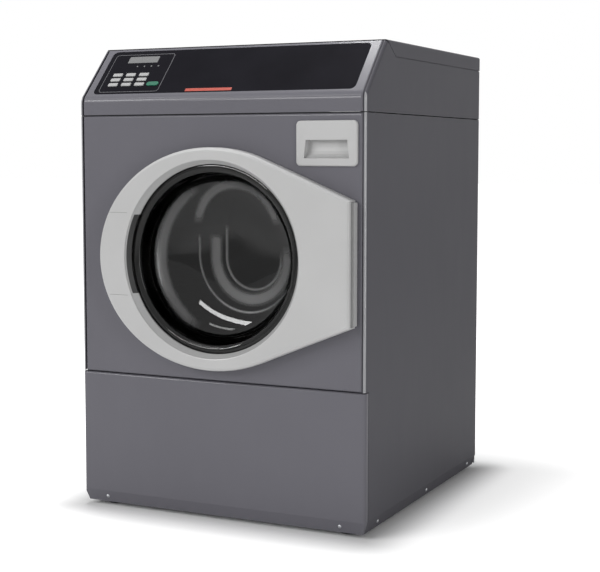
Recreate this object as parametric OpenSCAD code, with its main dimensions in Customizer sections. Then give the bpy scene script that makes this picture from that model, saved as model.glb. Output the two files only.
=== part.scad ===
// Front-load commercial washing machine, built as separate pieces.
// Millimetres. The origin is on the floor under the middle, X to the right, Y to the back, Z up.

/* [Cabinet] */
// Width across the side panels
body_w = 683; // [660:1:760]
// Depth from the front panel to the rear panel
body_d = 704; // [700:1:780]
// Height of the cabinet without its feet
body_h = 1007; // [995:1:1060]
// Thickness of the sheet steel
sheet = 1.5; // [1:0.1:2]
// Radius of the upright edges
edge_r = 7; // [5:0.5:9]
// Height of the seam under the console
seam_z = 857; // [850:1:875]
// Height of the lower access panel
lower_h = 293; // [270:1:300]
// Gap between neighbouring panels
panel_gap = 2; // [1:0.5:3]
// Height of the tucked-in band along the foot of the panels
band_h = 26; // [18:1:34]
// How far that band leans in
band_in = 8; // [4:1:10]
// Depth of the returns folded behind each panel
fold_d = 14; // [10:1:16]
// Height of the skirt of the lid
lid_skirt = 32; // [24:1:40]

/* [Feet] */
// Gap between the floor and the cabinet
foot_gap = 10; // [10:1:24]
// Radius of a foot's pad
foot_r = 24; // [18:1:30]
// Radius of a foot's stud
stud_r = 5; // [4:0.5:6]
// Length of a foot's stud above the floor
stud_len = 54; // [50:1:62]
// Distance from the cabinet's sides to the feet
foot_inset = 55; // [50:1:62]

/* [Console] */
// Upright part of the console under its slope
console_rise = 36; // [30:1:42]
// Depth of the sloping part
slope_run = 107; // [95:1:120]
// Radius of the bend between the two
bend_r = 25; // [18:1:26]
// Mean margin between the dark overlay and the ends of the console's front
overlay_side = 20.5; // [18.5:0.5:33]
// Margin between the overlay and the ridge
overlay_top = 8.35; // [6.35:0.5:16.35]
// Distance from the slope's foot to the overlay
overlay_s = 14; // [10:1:16]
// Depth of the overlay below the fascia's face
overlay_drop = 0.6; // [0.3:0.1:1]
// Width of a key
key_w = 24; // [18:0.5:26]
// Height of a key
key_h = 9.6; // [8:0.2:10.4]
// Distance between the columns of keys
key_step_x = 33.75; // [31:0.25:36]
// Distance between the rows of keys
key_step_s = 15; // [14:0.5:17]
// Travel of a key
key_travel = 1; // [0.6:0.1:1.4]
// How far a key stands out of the overlay
key_proud = 1.6; // [1.5:0.1:2.4]
// Width of the start key
start_w = 30; // [24:1:31]
// Height of the start key
start_h = 12; // [10:0.5:13]
// Width of the display
display_w = 77; // [70:1:84]
// Height of the display
display_h = 20; // [16:1:22]

/* [Door] */
// Height of the door's centre above the cabinet's foot
door_z = 553.5; // [548:0.5:558]
// Half width of the door's oval
door_a = 273; // [270:1:280]
// Half height of the door's oval
door_b = 234; // [232:1:240]
// Distance from the centre to the grip end
grip_x = 320; // [316:1:322]
// Half height of the grip end
grip_h = 128; // [118:1:136]
// How far the door stands in front of the cabinet
door_proud = 34; // [33:0.5:38]
// Gap behind the closed door
door_gap = 2; // [1.6:0.2:3]
// Wall of the door's mouldings
door_wall = 3; // [2.5:0.5:3.5]
// Rounding of the door's front edge
door_round = 6; // [4:0.5:7]
// Radius of the door's opening at its face
mouth_r = 207.5; // [205:0.5:210]
// Radius at the foot of the opening's bevel
mouth_foot_r = 199.5; // [197:0.5:201]
// Depth of the bevel
mouth_d = 15; // [12:1:17]
// Depth of the shell at the grip end
grip_lip = 6; // [5:0.5:7]
// Width of the finger groove behind the grip end
groove_w = 9; // [8:0.5:10]
// Depth of the finger groove
groove_d = 22; // [18:1:25]
// Radius of the glass bowl
bowl_r = 186; // [182:1:187]
// Depth of the glass bowl
bowl_d = 88; // [76:1:92]
// Thickness of the glass
glass_t = 4; // [3:0.5:5]
// Distance from the centre to the hinge pins
hinge_x = 263; // [264:0.5:266]
// Distance from the door's face to the hinge pins
hinge_d = 13; // [12.5:0.5:14]
// Radius of the hinge pins
pin_r = 3; // [2.5:0.25:3.5]

/* [Dispenser] */
// Distance from the drawer's front to the right edge of the front panel
drawer_side = 9.5; // [9.5:0.5:15.5]
// Distance from the drawer's front up to the seam under the console
drawer_drop = 16; // [11:1:21]
// Width of the drawer's front
drawer_w = 136; // [130:1:138]
// Height of the drawer's front
drawer_h = 92; // [88:1:94]
// How far the drawer's front stands out
drawer_proud = 6; // [5:0.5:8]
// Length of the drawer behind its front
drawer_len = 225; // [200:5:230]
// Wall of the drawer
drawer_wall = 2; // [1.6:0.2:2.6]
// Opening travel of the drawer
drawer_travel = 150; // [120:5:160]

/* [Drum and tub] */
// Radius of the drum
drum_r = 268; // [262:1:269]
// Depth of the drum
drum_d = 418; // [390:1:424]
// Wall of the drum
drum_wall = 2; // [1.5:0.25:2.5]
// Radius of the drum's mouth
drum_mouth_r = 200; // [194:1:206]
// Gap between the drum and the tub
drum_gap = 11; // [9:0.5:12]
// Wall of the tub
tub_wall = 4; // [3:0.5:5]
// Distance from the front panel to the tub
tub_set = 94; // [92:1:98]
// Radius of the drum's shaft
shaft_r = 20; // [18:0.5:22]
// Running clearance of shafts
run_gap = 0.05; // [0.03:0.01:0.08]
// Radius of the front bearing
bearing_r = 45; // [42:1:47]
// Width of each bearing
bearing_w = 22; // [18:1:24]
// Number of lifters in the drum
lifters = 3; // [2:1:4]
// Height of a lifter
lifter_h = 66; // [50:1:70]

/* [Drive] */
// Radius of the drum's pulley
pulley_r = 150; // [140:1:160]
// Radius of the motor's pulley
motor_pulley_r = 30; // [26:1:34]
// Width of both pulleys
pulley_w = 24; // [20:1:26]
// Thickness of the belt
belt_t = 4; // [3:0.5:5]
// Radius of the motor
motor_r = 72; // [66:1:76]
// Length of the motor
motor_len = 190; // [170:5:200]
// Motor's place across
motor_x = 90; // [80:1:100]
// Motor's height
motor_z = 150; // [146:1:156]

/* [Suspension] */
// Vertical travel of the tub each way
bounce = 8; // [5:1:8]
// Distance of the springs from the middle
spring_x = 305; // [303:1:307]
// Mean radius of a spring
spring_r = 12; // [10:1:13]
// Radius of a spring's wire
wire_r = 2.2; // [1.8:0.1:2.4]
// Turns of a spring
spring_turns = 9; // [7:1:10]
// Distance of the dampers from the middle
damper_x = 190; // [180:1:195]
// Outer radius of a damper's tube
damper_r = 16; // [14:1:18]

/* [Services] */
// Radius of the water inlets, for a three-quarter inch hose union
inlet_r = 13.2; // [12.8:0.1:13.6]
// Radius of the drain outlet
drain_r = 19; // [16:0.5:20]
// How far the connections stand out behind the cabinet
rear_out = 34; // [33:0.5:38]

/* [Hidden] */
$fn = 64;

half_w = body_w / 2;
front_y = -body_d / 2;
rear_y = body_d / 2;
seat_gap = 0.3;
eps = 0.01;

// Front face of the inset panels, between the corners that the side panels wrap
inset_w = body_w - 2 * edge_r - panel_gap;
inset_r = 5;

// Console
slope_a = atan2(body_h - seam_z - console_rise, slope_run);
slope_len = norm([body_h - seam_z - console_rise, slope_run]);
bend_a = 90 - slope_a;
bend_run = bend_r * tan(bend_a / 2);
bend_n = 8;
slope_foot_z = seam_z + console_rise;
ridge_y = front_y + slope_run;
ridge_gap = 3;
overlay_w = inset_w - 2 * overlay_side;
overlay_h = slope_len - overlay_s - overlay_top;
overlay_x = -2;
overlay_x0 = overlay_x - overlay_w / 2;
overlay_r = 12;
overlay_t = 3;
overlay_edge = 4;
key_x0 = overlay_x0 + 41;
key_s0 = up_overlay(0.2164);
key_r = 2.2;
key_slot = 0.3;
key_flange = 1.4;
start_x = key_x0 + 3 * key_step_x - 0.25;
keypad_x = overlay_x0 + 87.5;
keypad_w = 151;
keypad_s = up_overlay(0.485);
keypad_h = overlay_h - 18;
display_x = keypad_x;
display_s = up_overlay(0.7985);
lamp_n = 4;
lamp_step = 18;
lamp_s = up_overlay(0.6418);
lamp_r = 2;
board_d = 16;
board_t = 2;

// Door
door_face_y = front_y - door_proud;
door_back_y = front_y - door_gap;
shell_back_y = door_back_y - 3.5;
groove_y = door_face_y + grip_lip + groove_w;
pin_y = door_face_y + hinge_d;
porthole_r = 214;
porthole_lip = 12;
bowl_y = door_face_y + 20;
hinge_span = 30;
ear_t = 7;
strike_x = grip_x - 52;
strike_z = door_z;

// Drum, tub and drive
tub_y0 = front_y + tub_set;
drum_y0 = tub_y0 + 14;
drum_y1 = drum_y0 + drum_d;
tub_y1 = drum_y1 + 30;
tub_r = drum_r + drum_gap + tub_wall;
tub_mouth_r = drum_mouth_r + 8;
hub_len = 72;
hub_y1 = tub_y1 + hub_len;
pulley_y = hub_y1 + 8;
motor_y1 = pulley_y - 6;
motor_dz = door_z - motor_z;
motor_gap = norm([motor_x, motor_dz]);

// Suspension
spring_y = [-70, 120];
spring_top = seam_z - 35;
spring_foot = door_z + 74.5;
damper_y = [-120, 70];
damper_foot = 40;
damper_top = door_z - 353.5;
rod_r = 7;
lug_z = door_z - 223.5;

// Drawer: its front, the box behind it and the hole that it runs through
drawer_x = inset_w / 2 - drawer_side - drawer_w / 2;
drawer_z = seam_z - drawer_drop - drawer_h / 2;
box_x0 = drawer_x - drawer_w / 2 + 36;
box_x1 = drawer_x + drawer_w / 2 - 8;
box_z0 = drawer_z - drawer_h / 2 + 20.5;
box_z1 = drawer_z + drawer_h / 2 - 9;
hole_x0 = drawer_x - drawer_w / 2 + 12;
hole_x1 = box_x1 + 2;
hole_h = drawer_h - 14;

// Services
hose_r = 11;
valve_x = half_w - 86.5;
valve_z = body_h - 82;
valve_step = 60;
chute_x = drawer_x + 8;
chute_y = -140;
sump_x = -80;
sump_y = -80;
pump_z = 96;
power_x = -230;
power_z = body_h - 162;

paint = "#69686D";
side_paint = "#57565A";
light_plastic = "#C2C2C2";
dark_plastic = "#1F1E23";
galvanised = "#9A9C9E";
stainless = "#B8BABC";
rubber = "#262628";

// Height up the slope at a share of the overlay's height
function up_overlay(share) = overlay_s + share * overlay_h;

// Points of an arc
function arc(cx, cy, r, a0, a1, n) =
    [for (i = [0:n]) let (a = a0 + (a1 - a0) * i / n) [cx + r * cos(a), cy + r * sin(a)]];

// Rectangle with its four corners rounded, centred
function rounded(w, h, r, n = 6) = concat(
    arc(w / 2 - r, h / 2 - r, r, 0, 90, n),
    arc(-w / 2 + r, h / 2 - r, r, 90, 180, n),
    arc(-w / 2 + r, -h / 2 + r, r, 180, 270, n),
    arc(w / 2 - r, -h / 2 + r, r, 270, 360, n)
);

// Section of a folded pan seen from its end: face along x at y = 0, front corners rounded
function pan_points(w, d, r, n = 6) = concat(
    [[w / 2, d]], [[-w / 2, d]],
    arc(-w / 2 + r, r, r, 180, 270, n),
    arc(w / 2 - r, r, r, 270, 360, n)
);

// Section of the same pan as bent sheet of thickness t, open at the back
function sheet_points(w, d, r, t, n = 6) = concat(
    [[-w / 2, d]], arc(-w / 2 + r, r, r, 180, 270, n), arc(w / 2 - r, r, r, 270, 360, n), [[w / 2, d]],
    [[w / 2 - t, d]], arc(w / 2 - r, r, r - t, 360, 270, n), arc(-w / 2 + r, r, r - t, 270, 180, n), [[-w / 2 + t, d]]
);

// Lifts a piece from the cabinet's own height to its height above the floor
module lift() {
    translate([0, 0, foot_gap]) children();
}

// Turns a profile drawn as (radius, distance back from the front) about the drum's axis
module turned() {
    lift() translate([0, 0, door_z]) rotate([-90, 0, 0]) rotate_extrude($fn = 128) children();
}

// Cylinder along Y from y0 to y1, at a place on the front
module rod_y(r, y0, y1, x = 0, z = 0) {
    translate([x, y0, z]) rotate([-90, 0, 0]) cylinder(r = r, h = y1 - y0);
}

// Plate whose outline is drawn as (x, z), from y0 back to y1
module plate_y(y0, y1) {
    translate([0, y1, 0]) rotate([90, 0, 0]) linear_extrude(y1 - y0) children();
}

// Plate whose outline is drawn as (y, z), from x0 to x1
module plate_x(x0, x1) {
    translate([x0, 0, 0]) rotate([90, 0, 90]) linear_extrude(x1 - x0) children();
}

// Places a piece on the console's slope: x across, y up the slope, z outwards
module on_slope() {
    lift() translate([0, front_y, slope_foot_z]) rotate([slope_a, 0, 0]) children();
}

// End faces of a skin whose rings have n points, the outer half of a ring paired with the inner half
function start_faces(n) = [for (i = [0:n / 2 - 2]) [i, i + 1, n - 2 - i, n - 1 - i]];
function end_faces(k, n) = [for (i = [0:n / 2 - 2]) [k + n - 1 - i, k + n - 2 - i, k + i + 1, k + i]];

// Carries a closed profile of (x, depth) points up the console's front, round its bend and up its slope
module up_console(section, top) {
    n = len(section);
    centre_z = slope_foot_z - bend_run;
    stops = concat(
        [[0, seam_z + panel_gap / 2 - centre_z]],
        [for (i = [0:bend_n]) [bend_a * i / bend_n, 0]],
        [[bend_a, slope_len - bend_run - top]]
    );
    lift() polyhedron(
        points = [for (stop = stops) for (p = section) [
            p[0],
            front_y + bend_r - (bend_r - p[1]) * cos(stop[0]) + stop[1] * sin(stop[0]),
            centre_z + (bend_r - p[1]) * sin(stop[0]) + stop[1] * cos(stop[0])
        ]],
        faces = concat(
            start_faces(n), end_faces((len(stops) - 1) * n, n),
            [for (k = [0:len(stops) - 2]) for (i = [0:n - 1]) [k * n + i, (k + 1) * n + i, (k + 1) * n + (i + 1) % n]],
            [for (k = [0:len(stops) - 2]) for (i = [0:n - 1]) [k * n + i, (k + 1) * n + (i + 1) % n, k * n + (i + 1) % n]]
        )
    );
}

// A point in (y, z) on the console, s up the slope and d below its face
function slope_point(s, d) = [
    front_y + s * cos(slope_a) + d * sin(slope_a),
    slope_foot_z + s * sin(slope_a) - d * cos(slope_a)
];

// Section of a side's front corner: wrapped edge, then a stretch of side wall
function corner_points(depth) = concat(
    arc(half_w - edge_r, edge_r, edge_r, 270, 360, 8),
    [[half_w, depth], [half_w - sheet, depth]],
    arc(half_w - edge_r, edge_r, edge_r - sheet, 360, 270, 8)
);

// Pressed tray with rails round it, cross rails and a threaded boss for each foot
rail_w = 34;
rail_h = 34;
tray_t = 2;
frame_x = half_w - band_in - sheet - 1;
frame_y0 = front_y + band_in + sheet + 1;
frame_y1 = rear_y - 2 * sheet - 1;
foot_x = half_w - foot_inset;
foot_y = -front_y - foot_inset;
boss_r = 13;
module base_frame() color(galvanised) lift() difference() {
    union() {
        translate([-frame_x, frame_y0, sheet]) cube([2 * frame_x, frame_y1 - frame_y0, tray_t]);
        difference() {
            translate([-frame_x, frame_y0, sheet]) cube([2 * frame_x, frame_y1 - frame_y0, rail_h]);
            translate([-frame_x + rail_w, frame_y0 + rail_w, 0])
                cube([2 * (frame_x - rail_w), frame_y1 - frame_y0 - 2 * rail_w, 2 * rail_h]);
            difference() {
                translate([-frame_x + tray_t, frame_y0 + tray_t, sheet + tray_t])
                    cube([2 * (frame_x - tray_t), frame_y1 - frame_y0 - 2 * tray_t, rail_h - 2 * tray_t]);
                translate([-frame_x + rail_w - tray_t, frame_y0 + rail_w - tray_t, 0])
                    cube([2 * (frame_x - rail_w + tray_t), frame_y1 - frame_y0 - 2 * (rail_w - tray_t), 60]);
            }
        }
        for (x = [-damper_x, damper_x]) translate([x - 22, frame_y0 + rail_w - tray_t, sheet]) difference() {
            cube([44, frame_y1 - frame_y0 - 2 * (rail_w - tray_t), rail_h]);
            translate([tray_t, -1, tray_t]) cube([44 - 2 * tray_t, body_d, rail_h - 2 * tray_t]);
        }
        for (x = [-foot_x, foot_x]) for (y = [-foot_y, foot_y])
            translate([x, y, sheet]) cylinder(r = boss_r, h = rail_h);
    }
    for (x = [-foot_x, foot_x]) for (y = [-foot_y, foot_y])
        translate([x, y, -1]) cylinder(r = stud_r + run_gap, h = rail_h + sheet + 2);
}

// Side panel: wrapped front edge, folded rear edge, band leaning in along its foot, rail for the springs
side_fold = 18;
seat_w = 12;
module side_panel() lift() {
    top = seam_z - panel_gap / 2;
    back = rear_y - sheet;
    low_front = front_y + fold_d + panel_gap;
    translate([0, 0, lower_h + panel_gap / 2]) linear_extrude(top - lower_h - panel_gap / 2)
        translate([0, front_y]) polygon(corner_points(fold_d + 8));
    translate([half_w - sheet, low_front, band_h]) cube([sheet, back - low_front, lower_h - band_h + 4]);
    translate([half_w - sheet, front_y + fold_d, lower_h + panel_gap / 2])
        cube([sheet, back - front_y - fold_d, top - lower_h - panel_gap / 2]);
    translate([half_w - side_fold, back - sheet, band_h]) cube([side_fold, sheet, top - band_h]);
    translate([inset_w / 2 - seat_w, front_y + fold_d + seat_gap, lower_h + 4])
        cube([half_w - sheet - inset_w / 2 + seat_w + eps, sheet, top - lower_h - 8]);
    plate_y(low_front, back) polygon([
        [half_w, band_h], [half_w, band_h + sheet], [half_w - sheet, band_h + sheet],
        [half_w - sheet, band_h], [half_w - band_in - sheet, sheet], [half_w - band_in - 14, sheet],
        [half_w - band_in - 14, 0], [half_w - band_in, 0]
    ]);
    plate_y(spring_y[0] - 24, spring_y[1] + 24) polygon([
        [half_w - sheet + eps, spring_top - 34], [half_w - sheet + eps, spring_top + 3],
        [spring_x - spring_r - 6, spring_top + 3], [spring_x - spring_r - 6, spring_top],
        [half_w - 2 * sheet - 3, spring_top], [half_w - 2 * sheet - 3, spring_top - 34]
    ]);
}
module right_side_panel() color(side_paint) side_panel();
module left_side_panel() color(side_paint) mirror([1, 0, 0]) side_panel();

// Upper sides: a wrapped edge that follows the console and a wall that runs back under the lid
module console_side() {
    flange_x = inset_w / 2 - seat_w;
    flange_d = fold_d + seat_gap;
    lid_y = [ridge_y + 4, rear_y - 3 * sheet];
    lip_z = body_h - lid_skirt - 16;
    lip_x = half_w - sheet - seat_gap;
    up_console(concat(
        arc(half_w - edge_r, edge_r, edge_r, 270, 360, 8),
        [[half_w, flange_d + sheet], [flange_x, flange_d + sheet], [flange_x, flange_d], [half_w - sheet, flange_d]],
        arc(half_w - edge_r, edge_r, edge_r - sheet, 360, 270, 8)
    ), ridge_gap);
    lift() intersection() {
        plate_y(lid_y[0] - 20, lid_y[1]) polygon([
            [lip_x, lip_z], [lip_x, body_h - lid_r], [half_w - lid_r - seat_gap, body_h - sheet - seat_gap],
            [lip_x - 15, body_h - sheet - seat_gap], [lip_x - 15, body_h - 2 * sheet - seat_gap],
            [half_w - lid_r - 1, body_h - 2 * sheet - seat_gap], [lip_x - sheet, body_h - lid_r - 0.7],
            [lip_x - sheet, lip_z]
        ]);
        plate_x(0, half_w) polygon([
            [lid_y[0], body_h], [lid_y[1], body_h], [lid_y[1], lip_z],
            [ridge_y + 1.5 * lid_skirt, lip_z], slope_point(slope_len - 12, 12)
        ]);
    }
    lift() translate([lip_x - sheet, ridge_y + 1.5 * lid_skirt, lip_z])
        cube([half_w - sheet / 2 - lip_x + sheet, lid_y[1] - ridge_y - 1.5 * lid_skirt, 14]);
    lift() plate_x(half_w - sheet, half_w) polygon([
        [front_y + 12, seam_z + panel_gap / 2], [rear_y - sheet, seam_z + panel_gap / 2],
        [rear_y - sheet, body_h - lid_skirt - panel_gap],
        [ridge_y + 1.5 * lid_skirt - panel_gap, body_h - lid_skirt - panel_gap],
        slope_point(slope_len, 10), slope_point(slope_len - 2 * ridge_gap, 10), slope_point(0, 12)
    ]);
    lift() translate([half_w - side_fold, rear_y - 2 * sheet, seam_z + panel_gap / 2])
        cube([side_fold, sheet, body_h - lid_skirt - seam_z - 1.5 * panel_gap]);
}
module console_sides() color(side_paint) {
    console_side();
    mirror([1, 0, 0]) console_side();
}

// Front of the console: upright part, bend and slope in one pressing, with a window for the overlay
module console_fascia() color(paint) difference() {
    union() {
        up_console(sheet_points(inset_w, fold_d, inset_r, sheet), ridge_gap);
        lift() translate([-inset_w / 2 + inset_r, front_y + sheet / 2, seam_z + panel_gap / 2 + 1])
            cube([inset_w - 2 * inset_r, fold_d - sheet, sheet]);
    }
    on_slope() translate([overlay_x, overlay_s + overlay_h / 2, -20]) linear_extrude(30)
        polygon(rounded(overlay_w, overlay_h, overlay_r));
}

// Lid with rounded long edges, its skirt cut back along the console's ridge
rear_skirt = 12;
lid_r = 5;
module top_panel() color(paint) lift() difference() {
    back = rear_y;
    union() {
        difference() {
            translate([0, back, 0]) rotate([90, 0, 0]) linear_extrude(back - ridge_y)
                translate([0, body_h]) mirror([0, 1]) polygon(pan_points(body_w, lid_skirt, lid_r));
            translate([0, back + 1, 0]) rotate([90, 0, 0]) linear_extrude(back - ridge_y + 2)
                translate([0, body_h - sheet]) mirror([0, 1])
                    polygon(pan_points(body_w - 2 * sheet, lid_skirt, lid_r - sheet));
        }
        translate([-half_w + lid_r, back - sheet, body_h - rear_skirt]) cube([body_w - 2 * lid_r, sheet, rear_skirt - sheet / 2]);
        plate_x(-inset_w / 2, inset_w / 2) polygon([
            slope_point(slope_len, 0), [ridge_y + 2, body_h - sheet / 2],
            slope_point(slope_len - ridge_gap + 1, 2 * sheet), slope_point(slope_len - ridge_gap + 1, sheet),
            slope_point(slope_len - ridge_gap + 1, 0)
        ]);
    }
    plate_x(-body_w, body_w) polygon([
        [ridge_y - 20, body_h + 1], [ridge_y - 1, body_h + 1],
        [ridge_y + 1.5 * lid_skirt - 1, body_h - lid_skirt - 1], [ridge_y - 20, body_h - lid_skirt - 1]
    ]);
}

// Rear panel with a large service opening and holes for the connections
service_w = 430;
module rear_panel() color(galvanised) lift() difference() {
    union() {
        translate([-half_w + 2, rear_y - sheet, 4]) cube([body_w - 4, sheet, body_h - rear_skirt - 1 - 4]);
        translate([-half_w + 6, rear_y - 2 * sheet - seat_gap, body_h - rear_skirt - 14])
            cube([body_w - 12, sheet, rear_skirt + 14 - sheet - seat_gap]);
        translate([-half_w + 6, rear_y - 2 * sheet - seat_gap, body_h - rear_skirt - 14])
            cube([body_w - 12, 1.5 * sheet, 12]);
        translate([-half_w + side_fold + 4, rear_y - fold_d, sheet + rail_h])
            cube([body_w - 2 * side_fold - 8, fold_d, sheet]);
    }
    plate_y(rear_y - 5, rear_y + 5) translate([0, door_z]) polygon(rounded(service_w, service_w, 30));
    for (i = [0, 1]) rod_y(inlet_r + 4, rear_y - 20, rear_y + 5, valve_x - i * valve_step, valve_z);
    rod_y(drain_r + 2, rear_y - 20, rear_y + 5, sump_x, pump_z);
    rod_y(10, rear_y - 20, rear_y + 5, power_x, power_z);
    plate_y(rear_y - 5, rear_y + 5) for (i = [0:7])
        translate([0, body_h - 117 - i * 11]) square([120, 5], center = true);
}

// Cover over the service opening, with vent slots
module rear_service_cover() color(galvanised) lift() difference() {
    plate_y(rear_y, rear_y + 2) translate([0, door_z]) polygon(rounded(service_w + 36, service_w + 36, 36));
    plate_y(rear_y - 5, rear_y + 5) for (i = [0:9])
        translate([0, door_z - 160 + i * 12]) square([220, 5], center = true);
}

// Front panel: rounded edges all round, porthole with a collar for the gasket, drawer opening, lock slot
module drawer_hole(grow) translate([(hole_x0 + hole_x1) / 2, drawer_z])
    polygon(rounded(hole_x1 - hole_x0 + 2 * grow, hole_h + 2 * grow, 4 + grow));
module front_pan(w, d, r, z0, z1) intersection() {
    translate([0, front_y + d, z0]) linear_extrude(z1 - z0) translate([0, -d]) polygon(pan_points(w, fold_d, r));
    plate_x(-w / 2, w / 2) polygon(concat(
        [[front_y + fold_d + d, z0]],
        arc(front_y + r, z0 + r, r, 270, 180, 6),
        arc(front_y + r, z1 - r, r, 180, 90, 6),
        [[front_y + fold_d + d, z1]]
    ));
}
module front_panel() color(paint) lift() difference() {
    z0 = lower_h + panel_gap / 2;
    z1 = seam_z - panel_gap / 2;
    union() {
        difference() {
            front_pan(inset_w, 0, inset_r, z0, z1);
            translate([0, sheet, 0]) front_pan(inset_w - 2 * sheet, 1, inset_r - sheet, z0 + sheet, z1 - sheet);
        }
        rod_y(porthole_r + sheet, front_y, front_y + porthole_lip, 0, door_z);
    }
    rod_y(porthole_r, front_y - 1, front_y + porthole_lip + 1, 0, door_z);
    plate_y(front_y - 1, front_y + fold_d - 4) drawer_hole(0);
    translate([strike_x - 7, front_y - 1, strike_z - 24]) cube([14, 5, 48]);
}

// Lower access panel: full width, wrapped corners, band leaning in at the front and both sides
module lower_shape(t) intersection() {
    top = lower_h - panel_gap / 2 - t;
    r = edge_r - t;
    linear_extrude(lower_h) translate([0, front_y + t])
        polygon(pan_points(body_w - 2 * t, fold_d + t, r, 8));
    plate_x(-half_w, half_w) polygon(concat(
        [[front_y + fold_d + t, t]], [[front_y + band_in + t, t]], [[front_y + t, band_h]],
        arc(front_y + t + inset_r - t, top - inset_r + t, inset_r - t, 180, 90, 6),
        [[front_y + fold_d + t, top]]
    ));
    plate_y(front_y, front_y + fold_d + 1) polygon([
        [-half_w + band_in + t, 0], [half_w - band_in - t, 0], [half_w - t, band_h],
        [half_w - t, lower_h], [-half_w + t, lower_h], [-half_w + t, band_h]
    ]);
}
module lower_access_panel() color(paint) lift() difference() {
    lower_shape(0);
    lower_shape(sheet);
}

// Low button head with a recess across it, standing on z = 0
module screw_head(r) difference() {
    scale([1, 1, 1]) intersection() {
        translate([0, 0, -r * 0.6]) sphere(r = r * 1.17, $fn = 24);
        cylinder(r = r, h = r);
    }
    for (a = [0, 90]) rotate(a) translate([-r * 0.6, -r * 0.1, r * 0.35]) cube([r * 1.2, r * 0.2, r]);
}

// Screws along the band at the foot, and round the service cover
band_tilt = atan2(band_in, band_h);
screw_z = 12.5;
screw_r = 4;
module panel_screws() color("#B0B0B2") lift() {
    lean = band_in * (1 - screw_z / band_h);
    for (s = [-1, 1]) translate([s * (half_w - 58.5), front_y + lean, screw_z]) rotate([90 + band_tilt, 0, 0]) screw_head(screw_r);
    for (s = [-1, 1]) for (y = [front_y + 76, 13, rear_y - 53]) translate([s * (half_w - lean), y, screw_z])
        rotate([0, s * (90 + band_tilt), 0]) screw_head(screw_r);
    for (x = [-1, 0, 1]) for (z = [-1, 0, 1]) if (x != 0 || z != 0)
        translate([x * (service_w / 2 + 9), rear_y + 2, door_z + z * (service_w / 2 + 9)])
            rotate([-90, 0, 0]) screw_head(screw_r);
}

// Outline of a key, and of the oval start key
module key_outline(grow) polygon(rounded(key_w + 2 * grow, key_h + 2 * grow, key_r + grow));
module start_outline(grow) polygon(rounded(start_w + 2 * grow, start_h + 2 * grow, start_h / 2 + grow - eps, 10));

// Place of the key in a column and a row, counted from the lower left
module at_key(i) {
    translate([key_x0 + (i % 3) * key_step_x, key_s0 + floor(i / 3) * key_step_s, 0]) children();
}
module at_start() translate([start_x, key_s0 + 0.7, 0]) children();

// Dark overlay: fills the fascia's window and rests against its back
module control_overlay() color(dark_plastic) on_slope() difference() {
    union() {
        translate([overlay_x, overlay_s + overlay_h / 2, -sheet - overlay_t]) linear_extrude(overlay_t)
            polygon(rounded(overlay_w + 2 * overlay_edge, overlay_h + 2 * overlay_edge, overlay_r + overlay_edge));
        translate([overlay_x, overlay_s + overlay_h / 2, -sheet - overlay_t])
            linear_extrude(sheet + overlay_t - overlay_drop)
                polygon(rounded(overlay_w - 0.4, overlay_h - 0.4, overlay_r - 0.2));
    }
    for (i = [0:8]) at_key(i) translate([0, 0, -10]) linear_extrude(20) key_outline(key_slot);
    at_start() translate([0, 0, -10]) linear_extrude(20) start_outline(key_slot);
    translate([display_x, display_s, -10]) linear_extrude(20) polygon(rounded(display_w, display_h, 2));
    for (i = [0:lamp_n - 1]) translate([display_x + 19 + (i - 1.5) * lamp_step, lamp_s, -10])
        cylinder(r = lamp_r, h = 20, $fn = 24);
}

// Clear window of the display and the four indicator lenses
module display_window() color("#8E9190") on_slope() {
    translate([display_x, display_s, -sheet - overlay_t]) linear_extrude(sheet + overlay_t - overlay_drop - 0.2)
        polygon(rounded(display_w, display_h, 2));
    for (i = [0:lamp_n - 1]) translate([display_x + 19 + (i - 1.5) * lamp_step, lamp_s, -board_d])
        cylinder(r = lamp_r, h = board_d - overlay_drop - 0.1, $fn = 24);
}

// Circuit board on pillars behind the overlay, with a switch under each key
module control_board() color("#2F6B45") on_slope() {
    translate([keypad_x - keypad_w / 2, keypad_s - keypad_h / 2, -board_d - board_t])
        cube([keypad_w, keypad_h, board_t]);
    for (x = [-1, 1]) for (s = [-1, 1])
        translate([keypad_x + x * (keypad_w / 2 - 6), keypad_s + s * (keypad_h / 2 - 6), -board_d - eps])
            cylinder(r = 3, h = board_d - sheet - overlay_t + eps);
    for (i = [0:8]) at_key(i) translate([-3, -3, -board_d - eps]) cube([6, 6, 4]);
    at_start() translate([-3, -3, -board_d - eps]) cube([6, 6, 4]);
    translate([display_x - display_w / 2, display_s - display_h / 2, -board_d - eps])
        cube([display_w, display_h, board_d - sheet - overlay_t]);
}

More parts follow.
